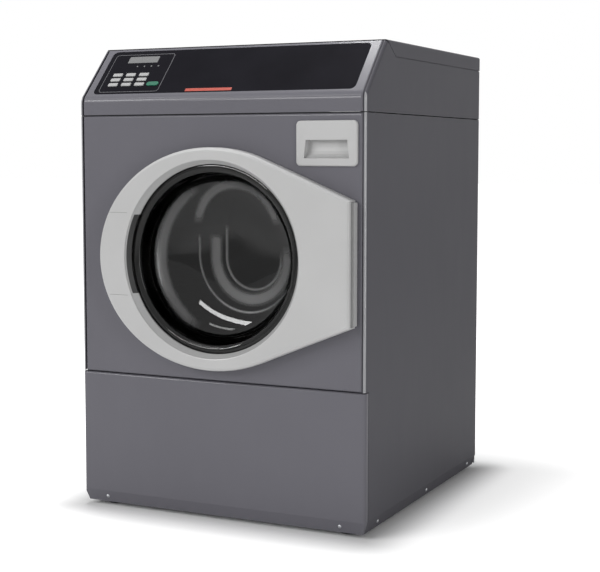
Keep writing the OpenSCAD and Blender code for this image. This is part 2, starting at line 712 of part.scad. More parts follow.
// Stem under a cap: ends above its switch by the key's travel and a little more
stem_foot = -board_d + 4 + key_travel + 0.5;
module key_cap(i) color("#C8C8C8") on_slope() at_key(i) {
    top = key_proud - overlay_drop;
    skirt = -sheet - overlay_t - key_travel;
    translate([0, 0, skirt]) linear_extrude(top - skirt - 0.5) key_outline(0);
    translate([0, 0, top - 0.5 - eps]) linear_extrude(0.5) key_outline(-0.5);
    translate([0, 0, -sheet - overlay_t - key_flange - 0.3]) linear_extrude(key_flange) key_outline(1);
    translate([0, 0, stem_foot]) cylinder(r = 2, h = skirt - stem_foot + eps, $fn = 24);
}
module key_1() key_cap(0);
module key_2() key_cap(1);
module key_3() key_cap(2);
module key_4() key_cap(3);
module key_5() key_cap(4);
module key_6() key_cap(5);
module key_7() key_cap(6);
module key_8() key_cap(7);
module key_9() key_cap(8);
module start_key() color("#2A9070") on_slope() at_start() {
    top = key_proud - overlay_drop;
    skirt = -sheet - overlay_t - key_travel;
    translate([0, 0, skirt]) linear_extrude(top - skirt - 0.5) start_outline(0);
    translate([0, 0, top - 0.5 - eps]) linear_extrude(0.5) start_outline(-0.5);
    translate([0, 0, -sheet - overlay_t - key_flange - 0.3]) linear_extrude(key_flange) start_outline(0.8);
    translate([0, 0, stem_foot]) cylinder(r = 2, h = skirt - stem_foot + eps, $fn = 24);
}

// Outline of the door in (x, z): an oval drawn out by straight tangents to an upright end at the grip
function tangent_angle(a, b, x, z) = let (p = x / a, q = z / b) atan2(q, p) + acos(1 / norm([p, q]));
function door_points(inset, n = 96) = let (
        a = door_a - inset, b = door_b - inset, x = grip_x - inset, z = grip_h - 0.7 * inset,
        t = tangent_angle(a, b, x, z)
    ) concat(
        [for (i = [0:n]) let (v = t + (360 - 2 * t) * i / n) [a * cos(v), b * sin(v)]],
        [[x, -z], [x, z]]
    );
module door_slab(inset, y0, y1) lift() plate_y(y0, y1) translate([0, door_z]) polygon(door_points(inset));

// Front moulding of the door: rounded shell, bevelled mouth, open finger groove behind the grip end
module door_shell() color(light_plastic) {
    difference() {
        union() {
            difference() {
                hull() {
                    door_slab(door_round, door_face_y, door_face_y + 0.2);
                    door_slab(0.3 * door_round, door_face_y + 0.3 * door_round, door_face_y + 0.3 * door_round + 0.2);
                    door_slab(0, door_face_y + door_round, shell_back_y);
                }
                door_slab(door_wall + 0.7 * door_round, door_face_y + door_wall, door_face_y + 2 * door_wall);
                door_slab(door_wall, door_face_y + 2 * door_wall - eps, front_y);
            }
            turned() polygon([
                [mouth_foot_r, door_face_y + mouth_d], [mouth_foot_r, door_face_y + mouth_d + 3],
                [mouth_r + 8, door_face_y + mouth_d + 3], [mouth_r + 8, door_face_y + door_wall - eps],
                [mouth_r + 1, door_face_y + 1]
            ]);
        }
        turned() polygon([
            [0, door_face_y - 1], [mouth_r + 2.5, door_face_y - 1], [mouth_r + 2.5, door_face_y],
            [mouth_r + 0.7, door_face_y + 0.7], [mouth_r, door_face_y + 2.5],
            [mouth_foot_r, door_face_y + mouth_d], [mouth_foot_r, front_y], [0, front_y]
        ]);
        lift() translate([grip_x - groove_d - 2, door_face_y + grip_lip, door_z - grip_h + 3])
            cube([groove_d + 20, 60, 2 * grip_h - 6]);
        lift() for (s = [-1, 1]) translate([-door_a - 5, door_face_y + 4, door_z + s * hinge_span - ear_t / 2 - 1])
            cube([door_a - hinge_x + 17, 60, ear_t + 2]);
    }
}

// Rear moulding of the door: backs the shell, clamps the glass and closes the finger groove
ring_y = door_face_y + mouth_d + 3 + seat_gap;
ring_in_r = bowl_r + 2.2;
module door_inner_ring() color(light_plastic) {
    difference() {
        union() {
            door_slab(door_wall + seat_gap, groove_y, door_back_y);
            lift() translate([grip_x - groove_d - 12, groove_y, door_z - grip_h + 4])
                cube([groove_d + 15, door_back_y - groove_y, 2 * grip_h - 8]);
            lift() translate([grip_x - groove_d - 5, door_face_y + door_wall + seat_gap, door_z - grip_h + 2])
                cube([3, groove_y - door_face_y - door_wall, 2 * grip_h - 4]);
        }
        turned() polygon([
            [0, door_face_y], [mouth_r + 8 + seat_gap, door_face_y], [mouth_r + 8 + seat_gap, ring_y],
            [mouth_foot_r + 1, ring_y], [mouth_foot_r + 1, ring_y + glass_t + seat_gap],
            [ring_in_r, ring_y + glass_t + seat_gap], [ring_in_r, front_y], [0, front_y]
        ]);
        lift() translate([-door_a - 5, door_face_y, door_z - hinge_span - ear_t - 4])
            cube([door_a - hinge_x + 17, 60, 2 * (hinge_span + ear_t + 4)]);
    }
}

// Glass bowl: flange under the mouth, wall and bottom on a superellipse
function bowl(r, d, n = 20) = [for (i = [0:n]) let (v = 90 * i / n)
    [r * pow(cos(v), 0.62), ring_y + d * pow(sin(v), 0.62)]];
function turned_back(p) = [for (i = [len(p) - 1:-1:0]) p[i]];
module door_glass() color("#3A3A3A") turned() polygon(concat(
    [[mouth_foot_r + 0.5, ring_y + glass_t], [mouth_foot_r + 0.5, ring_y]],
    bowl(bowl_r - glass_t, bowl_d - glass_t),
    turned_back(concat([[bowl_r, ring_y + glass_t]], [for (p = bowl(bowl_r, bowl_d)) if (p[1] > ring_y + glass_t) p]))
));

// Hinge on the cabinet: plate against the front panel, two ears and their pins
pin_len = ear_t + 12;
module hinge_bracket() color(galvanised) lift() {
    translate([-hinge_x - 4, front_y - 1.6, door_z - 44]) cube([40, 1.6, 88]);
    for (s = [-1, 1]) translate([0, 0, door_z + s * hinge_span - ear_t / 2]) {
        translate([-hinge_x, pin_y, 0]) cylinder(r = pin_r + 2, h = ear_t);
        translate([-hinge_x - 3, pin_y, 0]) cube([6, front_y - pin_y - 1, ear_t]);
    }
    for (s = [-1, 1]) translate([-hinge_x, pin_y, door_z + s * (hinge_span - pin_len / 2 + ear_t / 2) - pin_len / 2])
        cylinder(r = pin_r, h = pin_len);
}

// Hinge on the door: barrel round both pins and a leaf screwed to the inner ring
module hinge_arm() color(galvanised) lift() {
    span = hinge_span - ear_t / 2 - seat_gap;
    leaf_y = groove_y - 2.4;
    difference() {
        union() {
            translate([-hinge_x, pin_y, door_z - span]) cylinder(r = pin_r + 2, h = 2 * span);
            translate([-hinge_x, pin_y - 1.2, door_z - span]) cube([20, 2.4, 2 * span]);
            translate([-hinge_x + 17.6, pin_y - 1.2, door_z - span]) cube([2.4, leaf_y - pin_y + 3.6, 2 * span]);
            translate([-hinge_x + 17.6, leaf_y, door_z - span]) cube([22, 2.4, 2 * span]);
        }
        translate([-hinge_x, pin_y, door_z - span - 1]) cylinder(r = pin_r + run_gap, h = 2 * span + 2);
    }
}

// Hook on the door that enters the lock
module door_strike() color(galvanised) lift() {
    translate([strike_x - 9, door_back_y, strike_z - 26]) cube([18, 1.2, 52]);
    difference() {
        translate([strike_x - 2, door_back_y, strike_z - 16]) cube([4, 26, 32]);
        translate([strike_x - 3, door_back_y + 9, strike_z - 8]) cube([6, 9, 16]);
    }
}

// Lock behind the front panel, open towards the hook
module door_lock() color(dark_plastic) lift() difference() {
    translate([strike_x - 14, front_y + sheet, strike_z - 40]) cube([40, 36, 80]);
    translate([strike_x - 7, front_y, strike_z - 24]) cube([14, 30, 48]);
    translate([strike_x + 12, front_y + 8, strike_z - 34]) cube([20, 40, 68]);
}

// Front of the drawer: rounded plate, sunk grip with a hooded top edge
grip_w = 100;
grip_z0 = drawer_z - 30;
grip_z1 = drawer_z + 7;
pocket_d = 18;
module dispenser_front() color(light_plastic) lift() {
    y0 = front_y - drawer_proud;
    difference() {
        union() {
            hull() {
                plate_y(y0, y0 + 0.1) translate([drawer_x, drawer_z]) polygon(rounded(drawer_w - 6, drawer_h - 6, 7));
                plate_y(y0 + 1.2, y0 + 1.3) translate([drawer_x, drawer_z])
                    polygon(rounded(drawer_w - 1.6, drawer_h - 1.6, 9));
                plate_y(y0 + 3, front_y - 0.5) translate([drawer_x, drawer_z]) polygon(rounded(drawer_w, drawer_h, 10));
            }
            plate_y(front_y - 1, y0 + pocket_d + 3) translate([drawer_x, drawer_z])
                polygon(rounded(grip_w + 6, hole_h - 8, 4));
        }
        intersection() {
            plate_x(drawer_x - grip_w / 2, drawer_x + grip_w / 2) polygon(concat(
                [[y0 - 1, grip_z0]], [[y0, grip_z0]],
                [for (i = [1:6]) let (v = 15 * i)
                    [y0 + pocket_d * sin(v), grip_z0 + (grip_z1 - grip_z0) * 0.8 * (1 - cos(v))]],
                [[y0 + pocket_d, grip_z1 + 5], [y0 + 3, grip_z1 + 5], [y0 + 3, grip_z1], [y0 - 1, grip_z1]]
            ));
            plate_y(y0 - 1, y0 + 30) polygon([
                [drawer_x - grip_w / 2, grip_z0], [drawer_x + grip_w / 2, grip_z0],
                [drawer_x + grip_w / 2 - 5, grip_z1 + 6], [drawer_x - grip_w / 2 + 5, grip_z1 + 6]
            ]);
        }
    }
}

// Drawer with three compartments, hooked behind its front
drawer_y0 = front_y - drawer_proud + pocket_d + 3;
drawer_y1 = drawer_y0 + drawer_len;
module dispenser_drawer() color(light_plastic) lift() difference() {
    inner_x = (box_x1 - box_x0 - 4 * drawer_wall) / 3;
    translate([box_x0, drawer_y0, box_z0]) cube([box_x1 - box_x0, drawer_len, box_z1 - box_z0]);
    for (i = [0:2]) translate([box_x0 + drawer_wall + i * (inner_x + drawer_wall), drawer_y0 + 2, box_z0 + drawer_wall])
        cube([inner_x, drawer_len - 2 - drawer_wall, box_z1 - box_z0]);
    for (i = [0:2]) translate([box_x0 + drawer_wall + (i + 0.5) * inner_x + i * drawer_wall, drawer_y1 - 16, box_z0 - 1])
        cylinder(r = 6, h = 6, $fn = 32);
}

// Housing round the drawer: collar behind the front panel, box behind it, spout below
housing_wall = 2.5;
housing_gap = 1;
housing_y0 = front_y + fold_d + 2;
housing_y1 = drawer_y1 + 14;
house_x0 = box_x0 - housing_gap - housing_wall;
house_x1 = box_x1 + housing_gap + housing_wall;
house_z0 = box_z0 - housing_gap - housing_wall;
house_z1 = box_z1 + 6 + housing_wall;
spout_r = 15;
module dispenser_housing() color("#D8D8D6") lift() difference() {
    union() {
        translate([house_x0, housing_y0 - 0.5, house_z0])
            cube([house_x1 - house_x0, housing_y1 - housing_y0, house_z1 - house_z0]);
        plate_y(front_y + sheet, housing_y0 + housing_wall) drawer_hole(housing_wall);
        translate([chute_x, chute_y, house_z0 - 16]) cylinder(r = spout_r, h = 18);
        translate([chute_x, chute_y - 20, house_z1 - 1]) cylinder(r = hose_r, h = 13);
    }
    translate([house_x0 + housing_wall, front_y, house_z0 + housing_wall])
        cube([house_x1 - house_x0 - 2 * housing_wall, housing_y1 - front_y - housing_wall, house_z1 - house_z0 - 2 * housing_wall]);
    plate_y(front_y - 1, housing_y0) drawer_hole(0);
    translate([chute_x, chute_y, house_z0 - 20]) cylinder(r = spout_r - 3, h = 25);
    translate([chute_x, chute_y - 20, house_z1 - 5]) cylinder(r = hose_r - 3, h = 20);
}

// Two water valves on a shared manifold, with male unions through the rear panel
manifold_y = rear_y - 74;
module inlet_valves() color(dark_plastic) lift() difference() {
    union() {
        for (i = [0, 1]) {
            x = valve_x - i * valve_step;
            translate([x - 17, rear_y - 58, valve_z - 20]) cube([34, 58 - fold_d, 44]);
            rod_y(inlet_r + 6, rear_y - fold_d, rear_y - sheet, x, valve_z);
            rod_y(inlet_r, rear_y - 8, rear_y + rear_out, x, valve_z);
            translate([x, rear_y - 36, valve_z + 20]) cylinder(r = 13, h = 22);
            rod_y(9, manifold_y, rear_y - 50, x, valve_z);
        }
        translate([valve_x - valve_step - 12, manifold_y, valve_z]) rotate([0, 90, 0])
            cylinder(r = 12, h = valve_step + 28);
        rod_y(hose_r, manifold_y - 26, manifold_y, chute_x, valve_z);
    }
    for (i = [0, 1]) rod_y(inlet_r - 4, rear_y - 4, rear_y + rear_out + 1, valve_x - i * valve_step, valve_z);
    rod_y(hose_r - 3, manifold_y - 27, manifold_y - 2, chute_x, valve_z);
}

// Hose from the valves forward and down to the dispenser
hose_bend = 40;
module hose_ring() difference() {
    circle(r = hose_r + 3);
    circle(r = hose_r + seat_gap / 3);
}
module fill_hose() color(rubber) lift() {
    front = chute_y - 20;
    foot = house_z1 + 1;
    translate([chute_x, front + hose_bend, valve_z]) rotate([-90, 0, 0])
        linear_extrude(manifold_y - 14 - front - hose_bend) hose_ring();
    translate([chute_x, front + hose_bend, valve_z - hose_bend]) rotate([90, 0, -90])
        rotate_extrude(angle = 90) translate([hose_bend, 0]) hose_ring();
    translate([chute_x, front, foot]) linear_extrude(valve_z - hose_bend - foot) hose_ring();
}

// Drain pump standing on the tray: motor below, volute above, stubs up to the sump and back to the outlet
pump_r = 40;
module drain_pump() color(dark_plastic) lift() difference() {
    union() {
        translate([sump_x, sump_y, sheet + tray_t]) cylinder(r = 30, h = pump_z - 24 - sheet - tray_t);
        translate([sump_x, sump_y, sheet + tray_t]) cylinder(r = 46, h = 5);
        translate([sump_x, sump_y, pump_z - 24]) cylinder(r = pump_r, h = 48);
        translate([sump_x, sump_y, pump_z]) cylinder(r = 24, h = 60);
        rod_y(drain_r - 3 - seat_gap / 3, sump_y, sump_y + pump_r + 30, sump_x, pump_z);
    }
    translate([sump_x, sump_y, pump_z]) cylinder(r = 20, h = 61);
    rod_y(drain_r - 7, sump_y, sump_y + pump_r + 31, sump_x, pump_z);
}

// Pipe from the pump to the outlet behind the cabinet, with a flange inside the rear panel
module drain_outlet() color(rubber) lift() difference() {
    union() {
        rod_y(drain_r, sump_y + pump_r + 6, rear_y + rear_out, sump_x, pump_z);
        rod_y(drain_r + 9, rear_y - sheet - 3, rear_y - sheet, sump_x, pump_z);
    }
    rod_y(drain_r - 3, sump_y + pump_r + 5, rear_y + rear_out + 1, sump_x, pump_z);
}

// Terminal box on the back with a cable gland below it
gland_r = 6;
module power_inlet() color(dark_plastic) lift() difference() {
    union() {
        plate_y(rear_y, rear_y + 30) translate([power_x, power_z]) polygon(rounded(84, 64, 6));
        rod_y(9.5, rear_y - 6, rear_y + 1, power_x, power_z);
        translate([power_x, rear_y + 15, power_z - 40]) cylinder(r = 12, h = 9, $fn = 6);
        translate([power_x, rear_y + 15, power_z - 52]) cylinder(r1 = 8.5, r2 = 10.5, h = 12.1);
    }
    plate_y(rear_y + 2.5, rear_y + 27.5) translate([power_x, power_z]) polygon(rounded(79, 59, 4));
    rod_y(7, rear_y - 7, rear_y + 4, power_x, power_z);
    translate([power_x, rear_y + 15, power_z - 53]) cylinder(r = gland_r, h = 26);
}

// Tub: front ring with the gasket's lip
tub_joint_y = tub_y0 + 40;
module tub_front() color("#8D9093") turned() polygon([
    [tub_mouth_r, tub_y0 - 14], [tub_mouth_r + tub_wall, tub_y0 - 14], [tub_mouth_r + tub_wall, tub_y0],
    [tub_r - 10, tub_y0], [tub_r, tub_y0 + 10], [tub_r, tub_joint_y - 6], [tub_r + 7, tub_joint_y - 6],
    [tub_r + 7, tub_joint_y], [tub_r - tub_wall, tub_joint_y], [tub_r - tub_wall, tub_y0 + 12],
    [tub_r - tub_wall - 8, tub_y0 + tub_wall], [tub_mouth_r, tub_y0 + tub_wall]
]);

// Height of the tub's outer wall at a distance from the middle, below its axis
function tub_foot(x) = door_z - sqrt(tub_r * tub_r - x * x);
function tub_side(z) = sqrt(tub_r * tub_r - (z - door_z) * (z - door_z));

// Tub: barrel, ribbed rear wall with the bearing hub, sump, filler and the lugs that carry it
seal_w = 8;
module tub_rear() color("#8D9093") difference() {
    union() {
        turned() polygon([
            [0, tub_joint_y], [tub_r + 7, tub_joint_y], [tub_r + 7, tub_joint_y + 6], [tub_r, tub_joint_y + 6],
            [tub_r, tub_y1 - 12], [tub_r - 12, tub_y1], [bearing_r + 28, tub_y1],
            [bearing_r + 12, tub_y1 + 16], [bearing_r + 8, hub_y1], [0, hub_y1]
        ]);
        lift() translate([0, 0, door_z]) for (i = [0:11]) rotate([0, 30 * i + 15, 0])
            plate_x(-3, 3) polygon([
                [tub_y1 - 2, 0], [tub_y1 - 2, tub_r - 16], [tub_y1 + 6, tub_r - 20],
                [tub_y1 + 36, bearing_r + 8], [tub_y1 + 36, 0]
            ]);
        lift() translate([sump_x, sump_y, tub_foot(sump_x) - 26]) cylinder(r = 24, h = 60);
        lift() translate([chute_x, chute_y, spout_foot]) cylinder(r = spout_r, h = spout_top - spout_foot);
        lift() for (s = [-1, 1]) for (y = spring_y) translate([s > 0 ? 0 : -spring_x - 10, y - 12, spring_foot - 14])
            cube([spring_x + 10, 24, 14 - seat_gap]);
        lift() for (s = [-1, 1]) for (y = damper_y)
            translate([s * damper_x - 13, y - 13, lug_z]) cube([26, 26, 60]);
        lift() for (y = hanger_y) translate([motor_x - 34, y - 4, motor_z + motor_r + 6])
            cube([68, 8, tub_foot(motor_x + 34) - motor_z - motor_r + 8]);
    }
    turned() polygon([
        [0, tub_joint_y - 1], [tub_r - tub_wall, tub_joint_y - 1], [tub_r - tub_wall, tub_y1 - 16],
        [tub_r - 16, tub_y1 - 5], [bearing_r, tub_y1 - 5], [bearing_r, tub_y1 - 5 + seal_w + bearing_w],
        [bearing_r - 5, tub_y1 - 5 + seal_w + bearing_w], [bearing_r - 5, hub_y1 - bearing_w],
        [bearing_r, hub_y1 - bearing_w], [bearing_r, hub_y1 + 1], [0, hub_y1 + 1]
    ]);
    lift() translate([sump_x, sump_y, 0]) cylinder(r = 20, h = door_z);
    lift() translate([chute_x, chute_y, door_z + 60]) cylinder(r = spout_r - 3, h = 200);
}
spout_top = house_z0 - 16 - 2 * bounce - 12;
spout_foot = door_z + sqrt(tub_r * tub_r - chute_x * chute_x) - 40;
hanger_y = [motor_y1 - motor_len + 24, tub_y1 - 26];

// Two arcs of iron bolted to the tub's front
module counterweights() color("#5C5F62") for (a = [50, 230]) lift()
    translate([0, 0, door_z]) rotate([0, -a, 0]) rotate([-90, 0, 0]) difference() {
        rotate([0, 0, -80]) rotate_extrude(angle = 80, $fn = 128) polygon([
            [tub_mouth_r + tub_wall + 6, tub_y0 - 34], [tub_mouth_r + tub_wall + 10, tub_y0 - 38],
            [tub_r - 16, tub_y0 - 38], [tub_r - 12, tub_y0 - 34], [tub_r - 12, tub_y0],
            [tub_mouth_r + tub_wall + 6, tub_y0]
        ]);
        for (b = [12, 68]) rotate([0, 0, -b]) translate([(tub_mouth_r + tub_r) / 2, 0, tub_y0 - 39])
            cylinder(r = 9, h = 12, $fn = 32);
    }

// Two ball bearings in the hub and the seal in front of them
module bearing_ring(y, w) turned() difference() {
    translate([shaft_r + run_gap, y]) square([bearing_r - 0.02 - shaft_r - run_gap, w]);
    for (e = [0, w]) translate([(shaft_r + bearing_r) / 2 - 5, y + e - 1.5]) square([10, 3]);
}
module drum_bearings() color("#C4C6C8") {
    bearing_ring(tub_y1 - 5 + seal_w, bearing_w);
    bearing_ring(hub_y1 - bearing_w, bearing_w);
    turned() translate([shaft_r + run_gap, tub_y1 - 5]) square([bearing_r - 0.02 - shaft_r - run_gap, seal_w - 0.2]);
}

// Motor under the tub: ribbed frame, end bells, lugs up to the tub's hangers
module motor() color("#4A4D50") lift() difference() {
    union() {
        rod_y(motor_r - 6, motor_y1 - motor_len + 30, motor_y1 - 30, motor_x, motor_z);
        for (a = [0:20:340]) translate([motor_x, motor_y1 - motor_len + 30, motor_z]) rotate([0, a, 0])
            translate([-1.5, 0, 0]) cube([3, motor_len - 60, motor_r - 1]);
        rod_y(motor_r, motor_y1 - motor_len, motor_y1 - motor_len + 32, motor_x, motor_z);
        rod_y(motor_r, motor_y1 - 32, motor_y1 - 8, motor_x, motor_z);
        rod_y(24, motor_y1 - 9, motor_y1, motor_x, motor_z);
        for (y = hanger_y) translate([motor_x - 30, y - 10, motor_z + motor_r - 16])
            cube([60, 20, 22 - seat_gap / 3]);
    }
    rod_y(8 + run_gap, motor_y1 - 60, motor_y1 + 1, motor_x, motor_z);
}

// Motor shaft with its grooved pulley
module motor_pulley() color(galvanised) lift() {
    rod_y(8, motor_y1 - 50, pulley_y + pulley_w, motor_x, motor_z);
    rod_y(motor_pulley_r, pulley_y, pulley_y + pulley_w, motor_x, motor_z);
    for (y = [pulley_y - 2, pulley_y + pulley_w]) rod_y(motor_pulley_r + belt_t + 2, y, y + 2, motor_x, motor_z);
}

// Drum's pulley with six spokes
module drum_pulley() color(galvanised) {
    turned() translate([pulley_r - 8, pulley_y]) square([8, pulley_w]);
    turned() translate([shaft_r, pulley_y - 2]) square([16, pulley_w + 4]);
    lift() translate([0, 0, door_z]) for (i = [0:5]) rotate([0, 60 * i, 0])
        plate_x(-8, 8) polygon([
            [pulley_y + 2, shaft_r + 10], [pulley_y + 6, pulley_r - 6],
            [pulley_y + 14, pulley_r - 6], [pulley_y + 18, shaft_r + 10]
        ]);
}

// Flat loop round both pulleys: arcs joined by the common tangents
module belt_loop(grow) {
    r1 = pulley_r + seat_gap + grow;
    r2 = motor_pulley_r + seat_gap + grow;
    lean = atan2(-motor_dz, motor_x);
    a = acos((r1 - r2) / motor_gap);
    circle(r = r1, $fn = 128);
    translate([motor_x, -motor_dz]) circle(r = r2);
    polygon([
        r1 * [cos(lean + a), sin(lean + a)], r1 * [cos(lean - a), sin(lean - a)],
        [motor_x, -motor_dz] + r2 * [cos(lean - a), sin(lean - a)],
        [motor_x, -motor_dz] + r2 * [cos(lean + a), sin(lean + a)]
    ]);
}
module drive_belt() color(rubber) lift() translate([0, 0, door_z])
    plate_y(pulley_y + 1, pulley_y + pulley_w - 1) difference() {
        belt_loop(belt_t);
        belt_loop(0);
    }

// Tubes of the dampers on their rails, and the rods that slide in them
module damper_tubes() color("#3C3E40") lift() for (x = [-damper_x, damper_x]) for (y = damper_y)
    translate([x, y, 0]) difference() {
        union() {
            translate([0, 0, sheet + rail_h]) cylinder(r = damper_r + 6, h = 4);
            translate([0, 0, sheet + rail_h]) cylinder(r = damper_r, h = damper_top - sheet - rail_h);
        }
        translate([0, 0, sheet + rail_h + 6]) cylinder(r = damper_r - 3, h = damper_top);
    }
module damper_rods() color("#B8BABC") lift() for (x = [-damper_x, damper_x]) for (y = damper_y)
    translate([x, y, 0]) {
        translate([0, 0, damper_foot + 40]) cylinder(r = damper_r - 3 - seat_gap, h = 30);
        translate([0, 0, damper_foot + 60]) cylinder(r = rod_r, h = lug_z - damper_foot - 60);
        translate([0, 0, lug_z - 8]) cylinder(r = 13, h = 8);
    }

// Folded rubber between the front panel's collar and the tub's lip, with a lip round the glass
module door_gasket() color(rubber) {
    t = 3;
    y0 = front_y + sheet + 1;
    fold = (tub_y0 - 22 - front_y - porthole_lip - 2) / 4;
    outer = concat(
        [[porthole_r - 0.5, y0], [porthole_r - 0.5, front_y + porthole_lip + 2]],
        [for (i = [1:4]) [i % 2 == 1 ? porthole_r + 3 : porthole_r - 14, front_y + porthole_lip + 2 + i * fold]],
        [[tub_mouth_r + tub_wall + seat_gap + t, tub_y0 - 18], [tub_mouth_r + tub_wall + seat_gap + t, tub_y0 - 2]]
    );
    turned() polygon(concat(outer, turned_back([for (p = outer) [p[0] - t, p[1]]])));
    turned() polygon([
        [porthole_r - 2, y0 + 5], [porthole_r - 2, y0 + 8.5], [bowl_r + 3, y0 + 16], [bowl_r + 0.6, y0 + 13]
    ]);
}

// Tube swept along points that turn about a vertical axis
function coil_r(t) = spring_r * min(1, 2 * t, 2 * (spring_turns - t));
function coil_point(t, z0, z1) = [
    coil_r(t) * cos(360 * t), coil_r(t) * sin(360 * t), z0 + (z1 - z0) * t / spring_turns
];
module coil(z0, z1, per_turn = 8, sides = 6) {
    n = spring_turns * per_turn;
    end = 8;
    path = concat(
        [[0, 0, z0]], [for (i = [0:n]) coil_point(i / per_turn, z0 + end, z1 - end)], [[0, 0, z1]]
    );
    last = len(path) - 1;
    rings = [for (i = [0:last]) let (
            ahead = path[min(i + 1, last)] - path[max(i - 1, 0)],
            t = (i == 0 || i == last) ? [0, 0, 1] : ahead / norm(ahead),
            turn = 360 / per_turn * max(0, min(n, i - 1)),
            side = cross(t, [cos(turn), sin(turn), 0]),
            u = side / norm(side),
            v = cross(t, u)
        ) [for (k = [0:sides - 1]) path[i] + wire_r * (cos(360 * k / sides) * u + sin(360 * k / sides) * v)]];
    points = [for (ring = rings) each ring];
    skin = [for (i = [0:last - 1]) for (k = [0:sides - 1]) let (
            a = i * sides + k, b = i * sides + (k + 1) % sides
        ) each [[a, a + sides, b + sides], [a, b + sides, b]]];
    caps = [[for (k = [0:sides - 1]) k], [for (k = [sides - 1:-1:0]) last * sides + k]];
    polyhedron(points = points, faces = concat(skin, caps));
}
module suspension_springs() color("#8A8C8E") lift() for (x = [-spring_x, spring_x]) for (y = spring_y)
    translate([x, y, 0]) coil(spring_foot, spring_top - seat_gap);

// Ribbed sleeve between two spouts, drawn as (radius, height)
module bellows(r, z0, z1, cuff, folds, depth) {
    t = 2.4;
    step = (z1 - z0 - 2 * cuff) / (2 * folds);
    outer = concat(
        [[r + t, z0], [r + t, z0 + cuff]],
        [for (i = [1:2 * folds - 1]) [r + t + (i % 2 == 1 ? depth : 0), z0 + cuff + i * step]],
        [[r + t, z1 - cuff], [r + t, z1]]
    );
    rotate_extrude() polygon(concat(outer, turned_back([for (p = outer) [p[0] - t, p[1]]])));
}
module sump_hose() color(rubber) lift() translate([sump_x, sump_y, 0])
    bellows(24 + seat_gap, pump_z + 44, tub_foot(sump_x) - 12, 14, 6, 5);
module dispenser_hose() color(rubber) lift() translate([chute_x, chute_y, 0])
    bellows(spout_r + seat_gap, spout_top - 12, house_z0 - 2, 12, 3, 4);

// Drum: rolled mouth, barrel and back
module drum() color(stainless) turned() difference() {
    union() {
        translate([0, drum_y0]) square([drum_r, drum_d]);
        translate([drum_mouth_r + 3, drum_y0 + 1]) circle(r = 4, $fn = 24);
    }
    translate([0, drum_y0 + drum_wall]) square([drum_r - drum_wall, drum_d - 2 * drum_wall]);
    translate([-drum_mouth_r, drum_y0 - 10]) square([2 * drum_mouth_r, 20]);
}

// Folded sheet lifters along the barrel, tapered to their crests and at both ends
lifter_wall = 2;
module lifter_shape(t) {
    base = drum_r - drum_wall;
    crest = base - lifter_h;
    plate_y(drum_y0 + 16, drum_y1 - 16) polygon(concat(
        [[-46 + t, -base - 2], [46 - t, -base - 2], [44 - t, -base + 12]],
        arc(0, -crest - 14, 14 - t, 10, 170, 8),
        [[-44 + t, -base + 12]]
    ));
}
module lifter_ends(t) {
    base = drum_r - drum_wall;
    crest = base - lifter_h;
    plate_x(-60, 60) polygon([
        [drum_y0 + 16 + t, -base - 2], [drum_y1 - 16 - t, -base - 2],
        [drum_y1 - 30 - t, -crest + 1], [drum_y0 + 44 + t, -crest + 1]
    ]);
}
module drum_lifters() color(stainless) lift() translate([0, 0, door_z]) for (i = [0:lifters - 1])
    rotate([0, 90 + 360 * i / lifters, 0]) difference() {
        intersection() {
            lifter_shape(0);
            lifter_ends(0);
            rod_y(drum_r - drum_wall, drum_y0, drum_y1);
        }
        intersection() {
            lifter_shape(lifter_wall);
            lifter_ends(lifter_wall);
        }
    }

// Three-armed spider behind the drum, with the shaft that carries it
module drum_spider() color("#A5A7A9") {
    turned() polygon([
        [0, drum_y1], [54, drum_y1], [46, drum_y1 + 16], [shaft_r + 4, drum_y1 + 24],
        [shaft_r, tub_y1 - 6], [shaft_r, pulley_y + pulley_w + 4], [0, pulley_y + pulley_w + 4]
    ]);
    lift() translate([0, 0, door_z]) for (i = [0:2]) rotate([0, 30 + 120 * i, 0]) {
        plate_x(-12, 12) polygon([
            [drum_y1, 30], [drum_y1, drum_r - 6], [drum_y1 + 8, drum_r - 6], [drum_y1 + 18, 30]
        ]);
        plate_x(-26, 26) polygon([
            [drum_y1, drum_r - 40], [drum_y1, drum_r - 6], [drum_y1 + 6, drum_r - 6], [drum_y1 + 6, drum_r - 40]
        ]);
    }
}

// Levelling foot: pad, neck, locknut and stud
module foot(x, y) color("#2E2E30") translate([x, y, 0]) {
    rotate_extrude() polygon([[0, 0], [foot_r, 0], [foot_r, 3], [foot_r - 8, 5.5], [0, 5.5]]);
    translate([0, 0, 5.4]) cylinder(r = stud_r + 3.5, h = foot_gap - 6.4, $fn = 6);
    cylinder(r = stud_r, h = stud_len);
}
module front_left_foot() foot(-foot_x, -foot_y);
module front_right_foot() foot(foot_x, -foot_y);
module rear_left_foot() foot(-foot_x, foot_y);
module rear_right_foot() foot(foot_x, foot_y);

base_frame();
left_side_panel();
right_side_panel();
console_sides();
console_fascia();
top_panel();
rear_panel();
rear_service_cover();
front_panel();
lower_access_panel();
control_overlay();
display_window();
control_board();
dispenser_housing();
inlet_valves();
fill_hose();
drain_pump();
drain_outlet();
power_inlet();
door_lock();
hinge_bracket();
damper_tubes();
panel_screws();
door_shell();
door_inner_ring();
door_glass();
hinge_arm();
door_strike();
dispenser_drawer();
dispenser_front();
key_1();
key_2();
key_3();
key_4();
key_5();
key_6();
key_7();
key_8();
key_9();
start_key();
tub_front();
tub_rear();
counterweights();
drum_bearings();
motor();
damper_rods();
door_gasket();
suspension_springs();
drive_belt();
sump_hose();
dispenser_hose();
drum();
drum_lifters();
drum_spider();
drum_pulley();
motor_pulley();
front_left_foot();
front_right_foot();
rear_left_foot();
rear_right_foot();
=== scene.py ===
import bmesh
import bpy
import math
import numpy as np
from mathutils import Matrix, Quaternion, Vector


